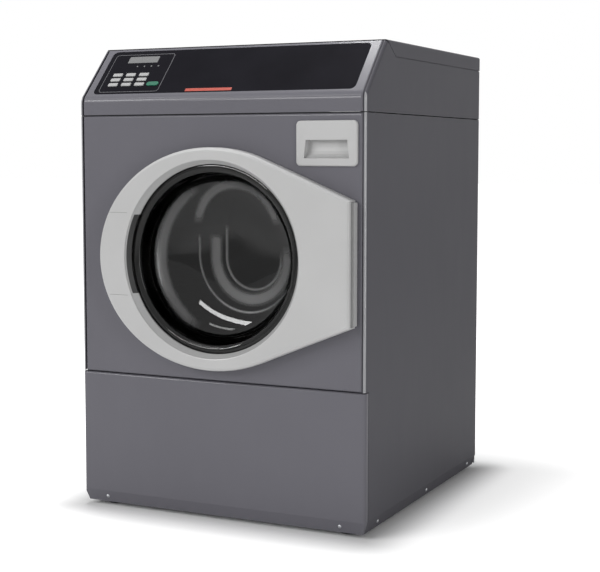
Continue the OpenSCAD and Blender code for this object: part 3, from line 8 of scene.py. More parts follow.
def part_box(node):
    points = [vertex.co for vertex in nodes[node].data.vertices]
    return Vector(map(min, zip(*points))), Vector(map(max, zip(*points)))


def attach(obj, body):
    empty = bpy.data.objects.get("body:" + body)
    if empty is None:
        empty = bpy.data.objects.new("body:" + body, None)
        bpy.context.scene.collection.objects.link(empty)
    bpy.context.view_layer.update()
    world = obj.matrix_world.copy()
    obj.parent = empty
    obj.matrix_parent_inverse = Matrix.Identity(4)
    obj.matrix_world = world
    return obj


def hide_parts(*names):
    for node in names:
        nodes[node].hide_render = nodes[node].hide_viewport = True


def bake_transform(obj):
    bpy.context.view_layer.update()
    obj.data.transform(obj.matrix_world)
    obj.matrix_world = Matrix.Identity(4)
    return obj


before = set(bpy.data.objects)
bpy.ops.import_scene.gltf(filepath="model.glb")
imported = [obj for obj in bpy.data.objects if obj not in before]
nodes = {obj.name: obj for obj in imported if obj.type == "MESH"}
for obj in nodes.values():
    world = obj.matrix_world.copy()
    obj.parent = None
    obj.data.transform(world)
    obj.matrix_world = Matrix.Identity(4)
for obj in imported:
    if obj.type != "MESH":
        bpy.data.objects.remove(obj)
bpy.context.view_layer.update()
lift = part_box("lower_access_panel")[0][2]  # gap under the cabinet
doorZ = 0.5535 + lift                      # height of the door's and the drum's centre
print("frame loaded:", len(nodes), "nodes")


class Wire:  # an output socket that can be used in sums
    def __init__(self, look, socket):
        self.look = look
        self.socket = socket

    def __add__(self, other):
        return self.look.maths("ADD", self, other)

    def __sub__(self, other):
        return self.look.maths("SUBTRACT", self, other)

    def __rsub__(self, other):
        return self.look.maths("SUBTRACT", other, self)

    def __mul__(self, other):
        return self.look.maths("MULTIPLY", self, other)

    __radd__ = __add__
    __rmul__ = __mul__


class Look:  # a material with one main shader, built up node by node
    def __init__(self, name, **fixed):
        self.material = bpy.data.materials.new(name)
        self.material.use_nodes = True
        self.tree = self.material.node_tree
        self.tree.nodes.clear()
        self.output = self.tree.nodes.new("ShaderNodeOutputMaterial")
        self.shader = self.tree.nodes.new("ShaderNodeBsdfPrincipled")
        self.tree.links.new(self.shader.outputs[0], self.output.inputs[0])
        for socket, value in fixed.items():
            self.feed(self.shader.inputs[socket], value)

    def feed(self, socket, value):
        if isinstance(value, Wire):
            self.tree.links.new(value.socket, socket)
        elif socket.type == "RGBA" and len(value) == 3:
            socket.default_value = (*value, 1)
        else:
            socket.default_value = value

    def node(self, kind, settings=None, sockets=None, out=0):
        made = self.tree.nodes.new(kind)
        for key, value in (settings or {}).items():
            setattr(made, key, value)
        for key, value in (sockets or {}).items():
            self.feed(made.inputs[key], value)
        return Wire(self, made.outputs[out])

    def maths(self, operation, first, second=0.0):
        return self.node("ShaderNodeMath", {"operation": operation}, {0: first, 1: second})

    def place(self, scale=(1, 1, 1), location=(0, 0, 0)):
        here = self.node("ShaderNodeTexCoord", out="Object")
        sockets = {"Vector": here, "Scale": scale, "Location": location}
        return self.node("ShaderNodeMapping", None, sockets)

    def split(self, location=(0, 0, 0)):  # x, y and z of the point, moved by location
        here = self.node("ShaderNodeSeparateXYZ", None, {0: self.place(location=location)})
        return here, Wire(self, here.socket.node.outputs[1]), Wire(self, here.socket.node.outputs[2])

    def noise(self, scale, detail=2.0, roughness=0.5, stretch=(1, 1, 1)):
        sockets = {"Vector": self.place(stretch), "Scale": scale, "Detail": detail, "Roughness": roughness}
        return self.node("ShaderNodeTexNoise", None, sockets, "Fac")

    def cells(self, scale, out="Distance"):
        return self.node("ShaderNodeTexVoronoi", None, {"Vector": self.place(), "Scale": scale}, out)

    def remap(self, value, low, high, start=0.0, end=1.0):
        return self.node("ShaderNodeMapRange", {"clamp": True}, {0: value, 1: low, 2: high, 3: start, 4: end})

    def below(self, value, limit, soft):  # 1 below the limit, 0 above it
        return self.remap(value, limit - soft, limit + soft, 1.0, 0.0)

    def fromMiddle(self, first, second):  # distance from the middle
        return self.maths("SQRT", first * first + second * second)

    def fromCircle(self, first, second, radius):  # distance from a circle round the middle
        return self.maths("ABSOLUTE", self.fromMiddle(first, second) - radius)

    def grey(self, value):
        return self.node("ShaderNodeCombineColor", None, {0: value, 1: value, 2: value})

    def blend(self, factor, first, second, how="MIX"):
        settings = {"data_type": "RGBA", "blend_type": how}
        return self.node("ShaderNodeMix", settings, {0: factor, 6: first, 7: second}, 2)

    def blendNumber(self, factor, first, second):
        return first * (1 - factor) + second * factor

    def clouded(self, value, colour, dark, light):  # a colour between a darker and a lighter tone of itself
        return self.blend(self.remap(value, 0.3, 0.7), shade(colour, dark), shade(colour, light))

    def bump(self, height, strength, distance):
        sockets = {"Height": height, "Strength": strength, "Distance": distance}
        return self.node("ShaderNodeBump", None, sockets)

    def set(self, **sockets):
        for name, value in sockets.items():
            self.feed(self.shader.inputs[name], value)
        return self.material


def shade(colour, factor):
    return tuple(min(1.0, c * factor) for c in colour)


paintSettings = {
    "front": (0.135, 0.132, 0.152),
    # the front's paint painted darker, as painted shade on the sides and the top
    "side": (0.097, 0.095, 0.108),
    "bendHighlight": (0.33, 0.33, 0.345),  # the upright front bends, painted lighter as a painted highlight
    # A bend's least and most distance from the middle, and the y it reaches back to
    "bend": (0.3358, 0.3406, -0.3478),
    "bendSoft": 0.0004,
    "enamel": (0.27, 0.28, 0.29),
    "machine": (0.062, 0.065, 0.070),
    "roughness": 0.46,
    "grainScale": 950.0,            # bumps per metre in the powder coat
    "grainDepth": 0.00010,
    "coat": 0.30,
    "coatRoughness": 0.16,
    "gloss": 0.14,                  # specular level of the front's paint
    "sideGloss": 0.06,
    "sideCoat": (0.05, 0.8),        # coat of the side, and what a bend adds
}


def paintGrounds(look, colour, roughness, depth):
    # Powder coat with drifting colour and roughness, and its grain: the drift, colour, roughness and normal
    grain = look.noise(paintSettings["grainScale"], 2.0)
    cloud = look.noise(3.0, 3.0)
    film = look.noise(26.0, 4.0, 0.6, (1, 1, 0.25))
    base = look.clouded(cloud * 0.7 + film * 0.3, colour, 0.955, 1.035)
    rough = look.remap(film * 0.5 + grain * 0.5, 0.3, 0.7, roughness - 0.05, roughness + 0.07)
    return film, base, rough, look.bump(grain, 0.35, depth)


def paintLook(name, colour, roughness=paintSettings["roughness"], depth=paintSettings["grainDepth"]):
    look = Look(name, **{"Specular IOR Level": paintSettings["gloss"], "IOR": 1.45,
                         "Coat Roughness": paintSettings["coatRoughness"],
                         "Coat Weight": paintSettings["coat"]})
    base, rough, normal = paintGrounds(look, colour, roughness, depth)[1:]
    return look.set(**{"Base Color": base, "Roughness": rough, "Normal": normal})


def shadedSidePaintLook(name):  # the side's paint, painted darker than the front as painted shade, with its two upright front bends painted lighter as a painted highlight and made glossier
    look = Look(name, **{"Specular IOR Level": paintSettings["sideGloss"], "IOR": 1.45,
                         "Coat Roughness": paintSettings["coatRoughness"]})
    x, y = look.split()[:2]
    (start, end, back), soft = paintSettings["bend"], paintSettings["bendSoft"]
    across = look.maths("ABSOLUTE", x)
    bend = look.remap(across, start - soft, start + soft) * look.below(across, end, soft)
    bend = bend * look.below(y, back, soft)
    film, base, rough, normal = paintGrounds(look, paintSettings["side"], paintSettings["roughness"],
                                             paintSettings["grainDepth"])
    # the bends are painted lighter: a painted highlight
    base = look.blend(bend * look.remap(film, 0.2, 0.6, 0.75, 1.0), base, paintSettings["bendHighlight"])
    plain, more = paintSettings["sideCoat"]
    return look.set(**{"Base Color": base, "Roughness": rough - bend * 0.15, "Normal": normal,
                       "Coat Weight": bend * more + plain})


plasticSettings = {
    "light": (0.500, 0.500, 0.499),
    "key": (0.40, 0.40, 0.40),
    "start": (0.009, 0.135, 0.078),
    "white": (0.68, 0.68, 0.65),
    "dark": (0.018, 0.018, 0.020),
    "board": (0.022, 0.13, 0.05),
    "grainScale": 1500.0,
}


def plasticLook(name, colour, roughness=0.42, depth=0.00006, coat=0.0):
    look = Look(name)
    grain = look.cells(plasticSettings["grainScale"])
    cloud = look.noise(5.0, 3.0)
    rub = look.noise(60.0, 5.0, 0.65)
    rough = look.remap(rub, 0.3, 0.75, roughness - 0.06, roughness + 0.08)
    return look.set(**{"Base Color": look.clouded(cloud, colour, 0.965, 1.02), "Roughness": rough,
                       "Normal": look.bump(grain, 0.3, depth), "Coat Weight": coat, "Coat Roughness": 0.1})


metalSettings = {
    "galvanised": (0.46, 0.47, 0.485),
    "stainless": (0.60, 0.605, 0.61),
    "ground": (0.62, 0.62, 0.63),
    "spring": (0.26, 0.26, 0.27),
    "iron": (0.10, 0.103, 0.108),
    "spangleScale": 85.0,
}


def galvanisedLook(name, colour):
    look = Look(name, Metallic=0.85)
    scaled = look.cells(metalSettings["spangleScale"], "Color")
    spangle = look.node("ShaderNodeSeparateColor", None, {0: scaled})
    fleck = look.remap(spangle, 0.0, 1.0, 0.86, 1.1)
    dull = look.noise(9.0, 4.0, 0.6)
    toned = look.blend(1.0, colour, look.grey(fleck), "MULTIPLY")
    rough = look.remap(spangle * 0.5 + dull * 0.5, 0.2, 0.8, 0.34, 0.56)
    return look.set(**{"Base Color": toned, "Roughness": rough, "Normal": look.bump(spangle, 0.12, 0.0001)})


def brushedLook(name, colour, along=(1, 60, 60), roughness=0.3):
    look = Look(name, Metallic=1.0)
    lines = look.noise(18.0, 6.0, 0.7, along)
    rough = look.remap(lines, 0.25, 0.75, roughness - 0.08, roughness + 0.12)
    return look.set(**{"Base Color": look.clouded(lines, colour, 0.9, 1.06), "Roughness": rough,
                       "Normal": look.bump(lines, 0.1, 0.0001)})


def castLook(name, colour):
    look = Look(name, Metallic=0.35)
    pits = look.noise(420.0, 6.0, 0.7)
    cloud = look.noise(14.0, 4.0)
    return look.set(**{"Base Color": look.clouded(cloud, colour, 0.75, 1.3),
                       "Roughness": look.remap(pits, 0.3, 0.7, 0.6, 0.85),
                       "Normal": look.bump(pits, 0.5, 0.0005)})


def rubberLook(name, colour=(0.018, 0.018, 0.019), roughness=0.62):
    look = Look(name)
    grain = look.noise(1200.0, 3.0)
    bloom = look.noise(22.0, 5.0, 0.65)
    base = look.blend(look.remap(bloom, 0.45, 0.75), colour, shade(colour, 1.9))
    rough = look.remap(bloom, 0.3, 0.7, roughness - 0.08, roughness + 0.1)
    return look.set(**{"Base Color": base, "Roughness": rough, "Normal": look.bump(grain, 0.3, 0.00012)})


drumSettings = {
    "axis": (0, 0.0, doorZ),
    "holes": 96,               # round the barrel
    "pitch": 0.0145,           # between two rows
    "holeR": 0.0021,
    "holeSoft": 0.0003,
    "barrel": (0.262, 0.264),  # radii between which the holes set in
    # painted shade inside the holes
    "inHole": (0.008, 0.008, 0.009),
}


def drumLook(name):  # brushed sheet with rows of round holes, laid out round the drum's axis and along it, painted near black as the shade inside them
    look = Look(name, Metallic=1.0)
    x, y, z = look.split(tuple(-v for v in drumSettings["axis"]))
    pitch, step = drumSettings["pitch"], 2 * math.pi / drumSettings["holes"]
    turn = look.maths("ARCTAN2", z, x) * (1 / step)
    row = y * (1 / pitch)
    shifted = turn + look.maths("MULTIPLY", look.maths("MODULO", look.maths("FLOOR", row + 100), 2.0), 0.5)
    u = look.maths("FRACT", shifted + 200) - 0.5
    v = look.maths("FRACT", row + 100) - 0.5
    radius = look.fromMiddle(x, z)
    gap = look.fromMiddle(u * step * radius, v * pitch)
    hole = look.below(gap, drumSettings["holeR"], drumSettings["holeSoft"])
    hole = hole * look.remap(radius, *drumSettings["barrel"])
    lines = look.noise(18.0, 6.0, 0.7, (60, 1, 60))
    base = look.clouded(lines, metalSettings["stainless"], 0.9, 1.05)
    base = look.blend(hole, base, drumSettings["inHole"])
    return look.set(**{"Base Color": base, "Roughness": look.remap(lines, 0.25, 0.75, 0.2, 0.36),
                       "Metallic": 1 - hole, "Normal": look.bump(hole * -1.0, 0.5, 0.001)})


glassSettings = {
    "tint": (0.036, 0.037, 0.038),
    "clear": (0.55, 0.55, 0.555),  # lighter tint on the bands, a painted reflection
    "frit": (0.004, 0.004, 0.004),
    "roughness": 0.015,
    "ior": 1.38,
    "smear": 0.42,                 # roughness of the bands
    "film": 0.9,                   # coat left on them
    "filmRoughness": 0.3,
    # U-shaped bands, rougher and with a painted reflection: middle x and z, radius, half width, fade, then
    # the heights at which the two arms end
    "smearAndReflectionShapes": [
        (0.042, 0.000, 0.088, 0.011, 0.006, 0.050, 0.030),
        (0.047, 0.000, 0.067, 0.0025, 0.002, 0.070, 0.020),
        (0.035, 0.005, 0.121, 0.0020, 0.002, 0.045, -0.030),
    ],
    "armFade": (0.012, 0.03),      # how far below its end each arm begins to fade
    "armTurn": 0.01,               # half width of the change from the left arm to the right one
    "hook": (0.008, 0.060, 0.097),  # middle x and z, and radius, of a band near the top
    "hookFrom": (0.070, 0.095),    # heights between which it sets in
    "outer": 0.168,                # radius of the band near the rim
    "outerFrom": (-0.07, -0.11),   # x between which it sets in
    "bandEdge": (0.004, 0.012),    # distances at which these two are full and gone
    "fritRadius": 0.1865,          # the black printed rim, a little off the middle where the bowl turns
    "fritSoft": 0.001,
    "fritMiddle": (0.007, doorZ - 0.0014),
}


def smearAndReflectionBands(look, x, z):  # 1 on the bands of the glass, which are rougher and carry a painted reflection, 0 between them
    smearAndReflection, turn, (leftFade, rightFade) = 0.0, glassSettings["armTurn"], glassSettings["armFade"]
    for middleX, middleZ, size, half, fade, leftTop, rightTop in glassSettings["smearAndReflectionShapes"]:
        across, rise = x - middleX, z - middleZ
        off = look.fromCircle(across, look.maths("MINIMUM", rise, 0.0), size)
        ends = look.blendNumber(look.remap(across, -turn, turn),
                                look.remap(rise, leftTop - leftFade, leftTop, 1.0, 0.0),
                                look.remap(rise, rightTop - rightFade, rightTop, 1.0, 0.0))
        smearAndReflection = look.maths("MAXIMUM", look.below(off, half, fade) * ends, smearAndReflection)
    edge = glassSettings["bandEdge"]
    middleX, middleZ, size = glassSettings["hook"]
    hook = look.remap(look.fromCircle(x - middleX, z - middleZ, size), *edge, 1.0, 0.0)
    hook = hook * look.remap(z, *glassSettings["hookFrom"])
    outer = look.remap(look.fromCircle(x, z, glassSettings["outer"]), *edge, 1.0, 0.0)
    outer = outer * look.remap(x, *glassSettings["outerFrom"])
    return look.maths("MAXIMUM", smearAndReflection, look.maths("MAXIMUM", hook, outer))


def glassLook(name):  # smoked bowl with a black printed rim, and bands that are rougher and tinted lighter as a painted reflection
    look = Look(name, IOR=glassSettings["ior"],
                **{"Transmission Weight": 1.0, "Coat Roughness": glassSettings["filmRoughness"]})
    x, z = look.split()[::2]
    x, z = x - glassSettings["fritMiddle"][0], z - glassSettings["fritMiddle"][1]
    size, soft = glassSettings["fritRadius"], glassSettings["fritSoft"]
    rim = look.remap(look.fromMiddle(x, z), size - soft, size + soft)
    smearAndReflection = smearAndReflectionBands(look, x, z)
    film = look.noise(30.0, 5.0, 0.6)
    ripple = look.noise(7.0, 1.0, 0.3)
    # the lighter tint on the bands is a painted reflection
    smoke = look.blend(smearAndReflection, glassSettings["tint"], glassSettings["clear"])
    rough = look.remap(film, 0.35, 0.8, glassSettings["roughness"], glassSettings["roughness"] + 0.03)
    return look.set(**{"Base Color": look.blend(rim, smoke, glassSettings["frit"]),
                       "Roughness": rough + smearAndReflection * glassSettings["smear"],
                       "Coat Weight": smearAndReflection * glassSettings["film"],
                       "Normal": look.bump(ripple, 0.03, 0.002)})


overlaySettings = {
    "colour": (0.0112, 0.0108, 0.0140),
    "gloss": 0.01,
    "line": (0.10, 0.10, 0.11),
    "bar": (0.42, 0.055, 0.032),
    "display": (0.15, 0.152, 0.155),
}


def overlayLook(name):
    look = Look(name, **{"Specular IOR Level": overlaySettings["gloss"]})
    grain = look.noise(2200.0, 2.0)
    cloud = look.noise(8.0, 3.0)
    return look.set(**{"Base Color": look.clouded(cloud, overlaySettings["colour"], 0.85, 1.2),
                       "Roughness": look.remap(grain, 0.3, 0.7, 0.42, 0.54),
                       "Normal": look.bump(grain, 0.15, 0.00003)})


doorSettings = {
    "seams": (0.4710 + lift, 0.6485 + lift),  # heights of the two seams by the hinge
    "seamSpan": (-0.2455, -0.2),
    "seamWidth": 0.0011,
    "seamBack": -0.372,       # y that the seams reach back to
    "seam": (0.06, 0.06, 0.06),
    "lipRadius": 0.2060,      # outer radius of the black inner lip between the seams
    "lipReach": -0.10,        # x at which it ends
    "lipMargin": 0.004,       # between the lip's ends and the seams
    "lip": (0.008, 0.008, 0.008),
}


def doorLook(name, colour):
    # The moulded cover: light plastic, two fine seams and a black lip beside the hinge
    look = Look(name)
    x, y, z = look.split()
    low, high = doorSettings["seams"]
    start, end = doorSettings["seamSpan"]
    onLine = 0.0
    for height in (low, high):
        away = look.maths("ABSOLUTE", z - height)
        onLine = look.below(away, doorSettings["seamWidth"] / 2, 0.0003) + onLine
    seam = onLine * look.below(x, end, 0.0005) * (1 - look.below(x, start, 0.0005))
    seam = seam * look.below(y, doorSettings["seamBack"], 0.0005)
    lip = look.below(look.fromMiddle(x, z - doorZ), doorSettings["lipRadius"], 0.0004)
    lip = lip * look.below(x, doorSettings["lipReach"], 0.002)
    away = look.maths("ABSOLUTE", z - (low + high) / 2)
    lip = lip * look.below(away, (high - low) / 2 - doorSettings["lipMargin"], 0.0006)
    grain = look.cells(plasticSettings["grainScale"])
    cloud = look.noise(5.0, 3.0)
    rub = look.noise(60.0, 5.0, 0.65)
    base = look.blend(seam * 0.55, look.clouded(cloud, colour, 0.965, 1.02), doorSettings["seam"])
    base = look.blend(lip, base, doorSettings["lip"])
    return look.set(**{"Base Color": base, "Roughness": look.remap(rub, 0.3, 0.75, 0.34, 0.46),
                       "Normal": look.bump(grain * 0.2 - seam, 0.3, 0.0003),
                       "Coat Weight": 0.2, "Coat Roughness": 0.15})


looks = {
    "frontPaint": paintLook("frontPaint", paintSettings["front"]),
    "shadedSidePaint": shadedSidePaintLook("shadedSidePaint"),
    "tubEnamel": paintLook("tubEnamel", paintSettings["enamel"], 0.5),
    "motorPaint": paintLook("motorPaint", paintSettings["machine"], 0.5, 0.0003),
    "galvanised": galvanisedLook("galvanised", metalSettings["galvanised"]),
    "stainless": brushedLook("stainlessSheet", metalSettings["stainless"]),
    "groundSteel": brushedLook("groundSteel", metalSettings["ground"], (60, 1, 60), 0.22),
    "springSteel": brushedLook("springSteel", metalSettings["spring"], (30, 30, 2), 0.4),
    "castIron": castLook("castIron", metalSettings["iron"]),
    "drumSheet": drumLook("drumSheet"),
    "doorPlastic": plasticLook("doorPlastic", plasticSettings["light"], 0.42, 0.00006, 0.15),
    "doorCover": doorLook("doorCover", plasticSettings["light"]),
    "keyPlastic": plasticLook("keyPlastic", plasticSettings["key"], 0.38),
    "startPlastic": plasticLook("startPlastic", plasticSettings["start"], 0.35),
    "whitePlastic": plasticLook("whitePlastic", plasticSettings["white"], 0.5),
    "blackPlastic": plasticLook("blackPlastic", plasticSettings["dark"], 0.45),
    "circuitBoard": plasticLook("circuitBoard", plasticSettings["board"], 0.4),
    "displayWindow": plasticLook("displayWindow", overlaySettings["display"], 0.16, 0.00001, 0.6),
    "overlayFilm": overlayLook("overlayFilm"),
    "rubber": rubberLook("rubber"),
    "footRubber": rubberLook("footRubber", (0.03, 0.03, 0.032), 0.7),
    "bowlGlass": glassLook("bowlGlass"),
    "printedLine": plasticLook("printedLine", overlaySettings["line"], 0.5),
    "barPaint": plasticLook("barPaint", overlaySettings["bar"], 0.45),
}
# The nodes under rubber, springSteel and bowlGlass are stood for by the pieces made further down
wearing = {
    "frontPaint": "console_fascia front_panel lower_access_panel",
    "shadedSidePaint": "left_side_panel right_side_panel console_sides top_panel",
    "galvanised": "base_frame rear_panel rear_service_cover hinge_bracket hinge_arm door_strike "
                  "panel_screws motor_pulley",
    "tubEnamel": "tub_front tub_rear",
    "motorPaint": "motor damper_tubes",
    "castIron": "counterweights drum_spider drum_pulley",
    "groundSteel": "drum_bearings damper_rods",
    "springSteel": "suspension_springs",
    "stainless": "drum_lifters",
    "drumSheet": "drum",
    "doorCover": "door_shell",
    "doorPlastic": "door_inner_ring dispenser_front dispenser_drawer",
    "keyPlastic": " ".join(f"key_{i}" for i in range(1, 10)),
    "startPlastic": "start_key",
    "whitePlastic": "dispenser_housing",
    "blackPlastic": "inlet_valves drain_pump drain_outlet power_inlet door_lock",
    "circuitBoard": "control_board",
    "displayWindow": "display_window",
    "overlayFilm": "control_overlay",
    "rubber": "fill_hose door_gasket drive_belt sump_hose dispenser_hose",
    "footRubber": "front_left_foot front_right_foot rear_left_foot rear_right_foot",
    "bowlGlass": "door_glass",
}
for look, names in wearing.items():
    for name in names.split():
        node = nodes[name]
        node.data.materials.clear()
        node.data.materials.append(looks[look])
print("finishes on", sum(len(names.split()) for names in wearing.values()), "nodes")


def linked(name, mesh):  # an object of the scene, at the origin
    piece = bpy.data.objects.new(name, mesh)
    bpy.context.scene.collection.objects.link(piece)
    return piece


def merged(mesh, closed=False):
    # Points that lie together become one. On a closed skin the faces are then turned outwards
    near = 1e-6
    shell = bmesh.new()
    shell.from_mesh(mesh)
    bmesh.ops.remove_doubles(shell, verts=shell.verts, dist=near)
    if closed:
        bmesh.ops.dissolve_degenerate(shell, edges=shell.edges, dist=near)
        bmesh.ops.recalc_face_normals(shell, faces=shell.faces)
    shell.to_mesh(mesh)
    shell.free()


def surface(name, points, look, smooth=True, poles=False):
    # Skin over a grid of points: row i joins row i+1 and column j joins column j+1, both coming round to the
    # start, so the skin is closed. Where the volume inside comes out negative the faces are turned round.
    rows, columns = points.shape[:2]
    i, j = np.meshgrid(np.arange(rows), np.arange(columns), indexing="ij")
    row, nextRow, nextJ = i * columns, (i + 1) % rows * columns, (j + 1) % columns
    quads = np.stack([row + j, nextRow + j, nextRow + nextJ, row + nextJ], -1).reshape(-1, 4)
    flat = points.reshape(-1, 3)
    corners = flat[quads]
    volume = np.einsum("ij,ij->i", corners[:, 0], np.cross(corners[:, 1], corners[:, 2])).sum()
    volume += np.einsum("ij,ij->i", corners[:, 0], np.cross(corners[:, 2], corners[:, 3])).sum()
    if volume < 0:
        quads = quads[:, ::-1]
    mesh = bpy.data.meshes.new(name)
    mesh.from_pydata(flat.tolist(), [], quads.tolist())
    if poles:
        merged(mesh, closed=True)
    mesh.polygons.foreach_set("use_smooth", np.full(len(mesh.polygons), smooth))
    mesh.materials.append(look)
    return linked(name, mesh)


def closedWall(along, radius, wall):
    # Section of a wall: out along the points (along, radius), back along (along, radius - wall)
    out = np.stack([along, radius], -1)
    back = np.stack([along, radius - wall], -1)[::-1]
    return np.concatenate([out, back])


def turned(section, middle, axis, steps):
    # Surface of revolution: (place on the axis, radius) of each section point, carried round at equal angles
    angle = np.linspace(0, 2 * np.pi, steps, endpoint=False)
    along, radius = section[:, :1], section[:, 1:]
    first, second = radius * np.cos(angle), radius * np.sin(angle)
    level = np.broadcast_to(along, first.shape)
    if axis == "y":
        return np.stack([middle[0] + first, level, middle[1] + second], -1)
    return np.stack([middle[0] + first, middle[1] + second, level], -1)


bowlSettings = {
    "ring": -0.3677,            # y of the flange's front
    "flange": 0.1998,           # its outer radius
    "round": 0.0008,            # chamfer of its edge
    "inner": (0.182, 0.084),    # radius and depth of the inner face
    "outer": (0.186, 0.088),
    "wall": 0.004,
    "foot": 0.0005,             # the least distance of the outer face from the flange
    "power": 0.62,
    "steps": (61, 192),         # along the curve and round it
}


def makeBowl():
    # Superellipse of revolution: radius = R cos(v)^p, depth = D sin(v)^p for v from 0 to 90 degrees. The
    # inner face runs out to the flange, and the outer one back to the axis
    ring, wall, foot = bowlSettings["ring"], bowlSettings["wall"], bowlSettings["foot"]
    power, (along, round_) = bowlSettings["power"], bowlSettings["steps"]
    v = np.radians(np.linspace(0, 90, along))
    sine, cosine = np.sin(v) ** power, np.clip(np.cos(v), 0, 1) ** power
    inner, outer = (np.stack([ring + depth * sine, size * cosine], -1)
                    for size, depth in (bowlSettings["inner"], bowlSettings["outer"]))
    inner, outer = inner[::-1], outer[outer[:, 0] > ring + wall + foot]
    inner[0, 1] = outer[-1, 1] = 0
    lip, cut, back = bowlSettings["flange"], bowlSettings["round"], ring + wall
    edge = np.array([[ring, lip - cut], [ring + cut, lip], [back - cut, lip], [back, lip - cut],
                     [back, bowlSettings["outer"][0] + foot]])
    section = np.concatenate([inner, edge, outer])
    bowl = surface("doorBowl", turned(section, (0, doorZ), "y", round_), looks["bowlGlass"], poles=True)
    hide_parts("door_glass")
    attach(bowl, "door")


seamShadeSettings = {"reach": 0.3403, "y": (-0.3462, -0.3412), "z": (0.8561, 0.8579)}


def makeSeamShadeStrip():
    # Dark strip behind the seam under the console, put there as painted shade in the gap: a rectangle carried
    # along x, drawn in to its middle at both ends
    reach, (y0, y1), (z0, z1) = seamShadeSettings["reach"], seamShadeSettings["y"], seamShadeSettings["z"]
    corners = np.array([(y0, z0), (y1, z0), (y1, z1), (y0, z1)])
    middle = corners.mean(0)
    rows = [np.column_stack([np.full(4, x), middle + size * (corners - middle) + (0, lift)])
            for x, size in ((-reach, 0), (-reach, 1), (reach, 1), (reach, 0))]
    seamShade = surface("seamShadeStrip", np.array(rows), looks["rubber"], smooth=False, poles=True)
    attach(seamShade, "cabinet")


sealSettings = {
    "middle": (0.0, doorZ),          # x and z of the porthole's centre
    "collar": (-0.3495, 0.2135),     # y and radius where it grips the front panel
    "foldStart": -0.338,
    "foldPitch": 0.029,
    "folds": 2,
    "foldRadius": (0.2005, 0.2165),  # least and most radius of the folds
    "phase": 0.9,                    # how far the first fold is moved on
    "ease": 0.008,                   # length over which the folds run out into the ends
    "tubEnd": (-0.260, 0.2150),
    "wall": 0.0028,
    "lipRadius": (0.2118, 0.2030, 0.1945, 0.1872),  # the lip's four points, from its root to its edge
    "lipY": (-0.3432, -0.3405, -0.3375, -0.3370),
    "lipHalf": (0.0015, 0.0008),     # half its thickness at root and edge
    "round": 160,
}


def makeDoorSeal():
    # Bellows: radius = mean - half height times cos(2 pi (y - start) / pitch - phase), between a plain collar
    # and a plain tub end
    start, pitch = sealSettings["foldStart"], sealSettings["foldPitch"]
    least, most = sealSettings["foldRadius"]
    (collarY, collarR), (tubY, tubR) = sealSettings["collar"], sealSettings["tubEnd"]
    y = np.linspace(start, start + pitch * sealSettings["folds"], 81)
    wave = np.cos(2 * np.pi * (y - start) / pitch - sealSettings["phase"])
    folds = (least + most) / 2 - (most - least) / 2 * wave
    for away, radius in ((y - start, collarR), (y[-1] - y, tubR)):
        ease = np.clip(away / sealSettings["ease"], 0, 1)
        folds = radius * (1 - ease) + folds * ease
    along = np.concatenate([np.linspace(collarY, start, 5)[:-1], y, np.linspace(y[-1], tubY, 5)[1:]])
    radius = np.concatenate([np.full(4, collarR), folds, np.full(4, tubR)])
    middle, round_ = sealSettings["middle"], sealSettings["round"]
    section = closedWall(along, radius, sealSettings["wall"])
    seal = surface("doorSeal", turned(section, middle, "y", round_), looks["rubber"])
    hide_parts("door_gasket")
    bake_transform(seal)
    # Sealing lip: a tongue along four points, thinner towards its edge
    t = np.linspace(0, 3, 25)
    radius = np.interp(t, range(4), sealSettings["lipRadius"])
    y = np.interp(t, range(4), sealSettings["lipY"])
    half = np.interp(t, [0, 3], sealSettings["lipHalf"])
    section = np.concatenate([np.stack([y - half, radius], -1), np.stack([y + half, radius], -1)[::-1]])
    lip = surface("doorSealLip", turned(section, middle, "y", round_), looks["rubber"])
    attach(lip, "cabinet")


hoseSettings = {
    "wall": 0.003,
    "edge": (0.001, 0.0004),  # length and height of the chamfer at each end
    "steps": (16, 64),        # along a fold and round the hose
    "hoses": {
        "sump_hose": {"piece": "sumpBellows", "cuff": 0.014, "folds": 6, "depth": 0.005,
                      "low": "cabinet", "high": "tub"},
        "dispenser_hose": {"piece": "dispenserBellows", "cuff": 0.012, "folds": 3, "depth": 0.004,
                           "low": "tub", "high": "cabinet"},
    },
}


def makeBellows():
    # Corrugated hose: radius = crest - depth times (1 + cos(2 pi t)) / 2 over the folds, with a plain cuff at
    # each end
    (edge, drop), (perFold, round_) = hoseSettings["edge"], hoseSettings["steps"]
    for node, own in hoseSettings["hoses"].items():
        low, high = (np.array(corner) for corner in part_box(node))
        middle, crest = (low + high)[:2] / 2, (high - low)[0] / 2
        z = np.linspace(low[2] + own["cuff"], high[2] - own["cuff"], own["folds"] * perFold + 1)
        t = (z - z[0]) / (z[-1] - z[0]) * own["folds"]
        plain = crest - own["depth"]
        radius = crest - own["depth"] * (1 + np.cos(2 * np.pi * t)) / 2
        radius = np.concatenate([[plain - drop, plain], radius, [plain, plain - drop]])
        along = np.concatenate([[low[2], low[2] + edge], z, [high[2] - edge, high[2]]])
        section = closedWall(along, radius, hoseSettings["wall"])
        hose = surface(own["piece"], turned(section, middle, "z", round_), looks["rubber"])
        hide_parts(node)
        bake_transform(hose)


fillSettings = {
    "bore": 0.0111,
    "outer": 0.0139,
    "bend": 0.040,
    "steps": (60, 24, 12, 32),  # along the level part, the bend and the drop, and round the hose
}


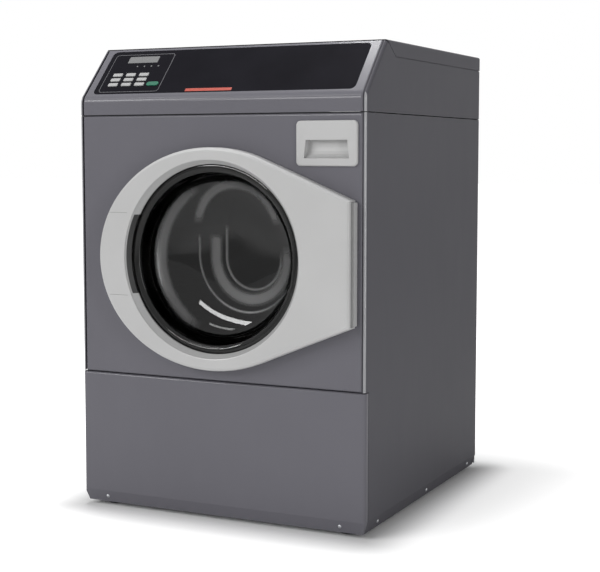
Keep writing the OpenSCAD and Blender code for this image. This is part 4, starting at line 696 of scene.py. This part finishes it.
def makeFillHose():
    # Hose along the cabinet's top, round a quarter bend and down: centre line in the plane of the chute, and
    # a ring of radius r about it
    low, high = (np.array(corner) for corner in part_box("fill_hose"))
    x, bend, r = (low + high)[0] / 2, fillSettings["bend"], fillSettings["outer"]
    topZ, frontY = high[2] - r, low[1] + r
    level, curve, drop, round_ = fillSettings["steps"]
    back = np.linspace(high[1], frontY + bend, level)
    turn = np.linspace(0, np.pi / 2, curve)[1:]
    down = np.linspace(topZ - bend, low[2], drop)[1:]
    y = np.concatenate([back, frontY + bend - bend * np.sin(turn), np.full(len(down), frontY)])
    z = np.concatenate([np.full(len(back), topZ), topZ - bend + bend * np.cos(turn), down])
    lean = np.concatenate([np.zeros(len(back)), turn, np.full(len(down), np.pi / 2)])
    angle = np.linspace(0, 2 * np.pi, round_, endpoint=False)
    rings = []
    for radius, order in ((r, slice(None)), (fillSettings["bore"], slice(None, None, -1))):
        side, rise = radius * np.cos(angle), radius * np.sin(angle)
        ring = np.stack([x + np.broadcast_to(side, (len(y), len(angle))),
                         y[:, None] - np.sin(lean)[:, None] * rise,
                         z[:, None] + np.cos(lean)[:, None] * rise], -1)
        rings.append(ring[order])
    hose = surface("fillHose", np.concatenate(rings), looks["rubber"])
    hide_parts("fill_hose")
    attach(hose, "cabinet")


beltSettings = {
    "big": (0, doorZ, 0.150),  # x, z and radius of the pulley
    "small": (0.090, 0.150 + lift, 0.030),
    "thick": 0.004,
    "ribs": 6,
    "ribDepth": 0.0016,
    "crest": 0.0001,           # a rib's gap to the pulley
    "steps": (180, 60),        # round the big and the small pulley
}


def makeBelt():
    # Ribbed belt: round both pulleys on their outer tangents, flat outside and toothed across its inner face
    low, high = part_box("drive_belt")
    (x1, z1, r1), (x2, z2, r2) = beltSettings["big"], beltSettings["small"]
    gap, lean = math.hypot(x2 - x1, z2 - z1), math.atan2(z2 - z1, x2 - x1)
    wrap = math.acos((r1 - r2) / gap)
    onBig, onSmall = beltSettings["steps"]
    big = np.linspace(lean + wrap, lean - wrap + 2 * np.pi, onBig)
    small = np.linspace(lean - wrap, lean + wrap, onSmall)
    angle = np.concatenate([big, small])
    px = np.concatenate([x1 + r1 * np.cos(big), x2 + r2 * np.cos(small)])
    pz = np.concatenate([z1 + r1 * np.sin(big), z2 + r2 * np.sin(small)])
    places = 2 * beltSettings["ribs"] + 1
    y = np.linspace(low[1], high[1], places)
    tooth = np.where(np.arange(places) % 2 == 0, beltSettings["crest"], beltSettings["ribDepth"])
    outside = [[high[1], beltSettings["thick"]], [low[1], beltSettings["thick"]]]
    section = np.concatenate([np.stack([y, tooth], -1), outside])
    points = np.stack([px[:, None] + np.cos(angle)[:, None] * section[:, 1],
                       np.broadcast_to(section[:, 0], (len(angle), len(section))),
                       pz[:, None] + np.sin(angle)[:, None] * section[:, 1]], -1)
    belt = surface("driveBelt", points, looks["rubber"], smooth=False)
    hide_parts("drive_belt")
    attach(belt, "tub")


springSettings = {"hook": 0.02}  # length at each end that doesn't stretch


def stretchSprings():
    # A merged, flat shaded copy of the springs stands in for their node
    node, hook = nodes["suspension_springs"], springSettings["hook"]
    mesh = node.data.copy()
    mesh.transform(node.matrix_world)
    merged(mesh)
    mesh.shade_flat()
    springs = linked("stretchedSprings", mesh)
    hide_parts("suspension_springs")
    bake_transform(springs)


panelSettings = {
    "foot": (-0.352, 0.893 + lift),  # y and z at the foot of the console's slope
    "angle": math.atan2(0.114, 0.107),
    "face": 0.0006,                  # the overlay lies this far below the fascia
    "keypad": (-0.2275, 0.079, 0.151, 0.116, 0.007),  # middle x, middle s, width, height, corner radius
    "lineWidth": 0.0013,
    "bar": (-0.027, 0.0225, 0.112, 0.0082, 0.0010),
    "film": 0.00018,
    "crown": 0.00002,                # the bar's middle stands this much above its edge
}


def onConsole(x, s, above):
    # Point on the console: x across, s up its slope from the foot, and above the overlay's face
    a, depth = panelSettings["angle"], panelSettings["face"] - above
    y = panelSettings["foot"][0] + s * np.cos(a) + depth * np.sin(a)
    z = panelSettings["foot"][1] + s * np.sin(a) - depth * np.cos(a)
    return np.stack([x + 0 * y, y, z], -1)


def roundedOutline(middleX, middleS, width, height, radius, steps=8):
    # Rectangle with arcs at its corners, as (x, s)
    t = np.linspace(0, np.pi / 2, steps)
    corners = []
    for signX, signS, start in ((1, 1, 0), (-1, 1, 1), (-1, -1, 2), (1, -1, 3)):
        angle = t + start * np.pi / 2
        corners.append(np.stack([middleX + signX * (width / 2 - radius) + radius * np.cos(angle),
                                 middleS + signS * (height / 2 - radius) + radius * np.sin(angle)], -1))
    return np.concatenate(corners)


def printed(name, levels, look):
    # Outlines on the console at their heights above its face, joined into one closed flat print
    rows = [onConsole(edge[:, 0], edge[:, 1], above) for edge, above in levels]
    return surface(name, np.stack(rows, 1), look, smooth=False)


def makePrinting():
    # Keypad line: the outline carried along itself as a flat strip, outer and inner edge, under and top
    middleX, middleS, width, height, radius = panelSettings["keypad"]
    half, film = panelSettings["lineWidth"] / 2, panelSettings["film"]
    outer = roundedOutline(middleX, middleS, width + 2 * half, height + 2 * half, radius + half)
    inner = roundedOutline(middleX, middleS, width - 2 * half, height - 2 * half, radius - half)
    levels = ((outer, 0), (outer, film), (inner, film), (inner, 0))
    line = printed("keypadLine", levels, looks["printedLine"])
    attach(line, "cabinet")
    # Plain coloured bar: a rounded outline drawn in to a thin middle line at its face and its back
    middleX, middleS, width, height, radius = panelSettings["bar"]
    outer = roundedOutline(middleX, middleS, width, height, radius)
    reach = width / 2 - height / 2
    inside = np.clip(outer[:, 0], middleX - reach, middleX + reach)
    core = np.stack([inside, np.full(len(outer), middleS)], -1)
    levels = ((core, 0), (outer, 0), (outer, film), (core, film + panelSettings["crown"]))
    bar = printed("plainBar", levels, looks["barPaint"])
    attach(bar, "cabinet")


makeBowl()
makeSeamShadeStrip()
makeDoorSeal()
makeBellows()
makeFillHose()
makeBelt()
stretchSprings()
makePrinting()
print("bowl, seal, hoses, belt, springs and printing made")


stageSettings = {
    "floorColour": (0.93, 0.93, 0.93),
    "floorHalf": 30.0,
    # What the background adds beside the machine, and further out on top of that, and the distances from the
    # machine's footprint between which each grows. Held back near the footprint, this glow leaves a painted
    # shadow round the machine
    "floorGlow": (0.50, 0.50),
    "paintedShadowReach": (-0.015, 0.11, 0.10, 0.80),
    "mirrored": 0.5,  # share of the floor's glow that a mirror or a glass sees
    "worldLevel": 0.22,
    "lamps": [  # name, place, target, width, height, roll in degrees, power
        ("keyLamp", (-3.1, -5.2, 3.1), (0, -0.2, 0.6), 4.6, 0.58, -24, 166),
        ("stripLamp", (2.55, -1.75, 0.95), (0.0, -0.35, 0.6), 0.50, 2.1, 0, 20),
        ("topLamp", (-0.25, 0.0, 3.5), (-0.1, 0.0, 0.7), 0.5, 1.2, 0, 55),
        ("bendLamp", (-1.6, -2.7, 3.2), (0, -0.3, 0.8), 1.5, 0.35, 0, 12),
    ],
}


def aim(thing, place, target, roll):
    thing.location = place
    turn = (Vector(target) - Vector(place)).to_track_quat("-Z", "Y")
    thing.rotation_euler = (turn @ Quaternion((0, 0, 1), math.radians(roll))).to_euler()


def backgroundRays(look):
    # 1 for a ray from the camera, less in a mirror or a glass, 0 for light on the object
    path = look.node("ShaderNodeLightPath", out="Is Camera Ray")
    kinds = [Wire(look, path.socket.node.outputs[kind]) for kind in ("Is Glossy Ray", "Is Transmission Ray")]
    return look.maths("MAXIMUM", path, look.maths("MAXIMUM", *kinds) * stageSettings["mirrored"])


def floorPaper():
    look = Look("floorPaper", Roughness=0.9, **{"Base Color": stageSettings["floorColour"],
                                                "Specular IOR Level": 0.0, "Emission Strength": 1.0})
    seen = backgroundRays(look)
    # the glow grows with distance from the machine's footprint, so the floor is darker near it: a painted
    # shadow
    x, y = look.split()[:2]
    low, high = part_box("lower_access_panel")
    x = look.maths("MAXIMUM", look.maths("ABSOLUTE", x) - high[0], 0.0)
    y = look.maths("MAXIMUM", look.maths("ABSOLUTE", y) + low[1], 0.0)
    away, reach = look.fromMiddle(x, y), stageSettings["paintedShadowReach"]
    soft = {"clamp": True, "interpolation_type": "SMOOTHSTEP"}
    near, far = (look.node("ShaderNodeMapRange", soft, {0: away, 1: start, 2: end, 3: 0.0, 4: gain})
                 for start, end, gain in zip(reach[::2], reach[1::2], stageSettings["floorGlow"]))
    return look.set(**{"Emission Color": look.grey((near + far) * seen)})


def makeFloor():
    rim = stageSettings["floorHalf"]
    mesh = bpy.data.meshes.new("floor")
    mesh.from_pydata([(-rim, -rim, 0), (rim, -rim, 0), (rim, rim, 0), (-rim, rim, 0)], [], [(0, 1, 2, 3)])
    mesh.materials.append(floorPaper())
    floor = linked("floor", mesh)


def makeWorld():
    world = bpy.data.worlds.new("studio")
    world.use_nodes = True
    bpy.context.scene.world = world
    tree = world.node_tree
    back = tree.nodes["Background"]
    ray = tree.nodes.new("ShaderNodeLightPath")
    seen = ray.outputs["Is Camera Ray"]
    for kind in ("Is Glossy Ray", "Is Transmission Ray"):
        either = tree.nodes.new("ShaderNodeMath")
        either.operation = "MAXIMUM"
        tree.links.new(seen, either.inputs[0])
        tree.links.new(ray.outputs[kind], either.inputs[1])
        seen = either.outputs[0]
    level = tree.nodes.new("ShaderNodeMapRange")
    tree.links.new(seen, level.inputs[0])
    level.inputs[3].default_value = stageSettings["worldLevel"]
    level.inputs[4].default_value = 1.0
    back.inputs[0].default_value = (1, 1, 1, 1)
    tree.links.new(level.outputs[0], back.inputs[1])


def makeLamps():
    for name, place, target, width, height, roll, power in stageSettings["lamps"]:
        lamp = bpy.data.lights.new(name, "AREA")
        lamp.shape = "RECTANGLE"
        lamp.size, lamp.size_y = width, height
        lamp.energy = power
        aim(linked(name, lamp), place, target, roll)


cameraSettings = {
    "place": (1.3783, -2.8033, 0.7758 + lift),
    "turn": 25.769,      # degrees round from straight on
    "pitch": 4.915,      # degrees down
    "lens": 80.27,
    "shiftY": -0.03,
}


def makeCamera():
    data = bpy.data.cameras.new("camera")
    camera = linked("camera", data)
    data.sensor_width = 36.0
    data.lens = cameraSettings["lens"]
    data.shift_y = cameraSettings["shiftY"]
    data.clip_start, data.clip_end = 0.05, 100
    turn, pitch = math.radians(cameraSettings["turn"]), math.radians(cameraSettings["pitch"])
    right = Vector((math.cos(turn), math.sin(turn), 0))
    ahead = Vector((-math.sin(turn) * math.cos(pitch), math.cos(turn) * math.cos(pitch), -math.sin(pitch)))
    axes = Matrix((right, right.cross(ahead), -ahead)).transposed().to_4x4()
    camera.matrix_world = Matrix.Translation(cameraSettings["place"]) @ axes
    bpy.context.scene.camera = camera


makeFloor()
makeWorld()
makeLamps()
makeCamera()
bpy.context.scene.view_settings.view_transform = "Standard"
print("stage, lamps and camera made")
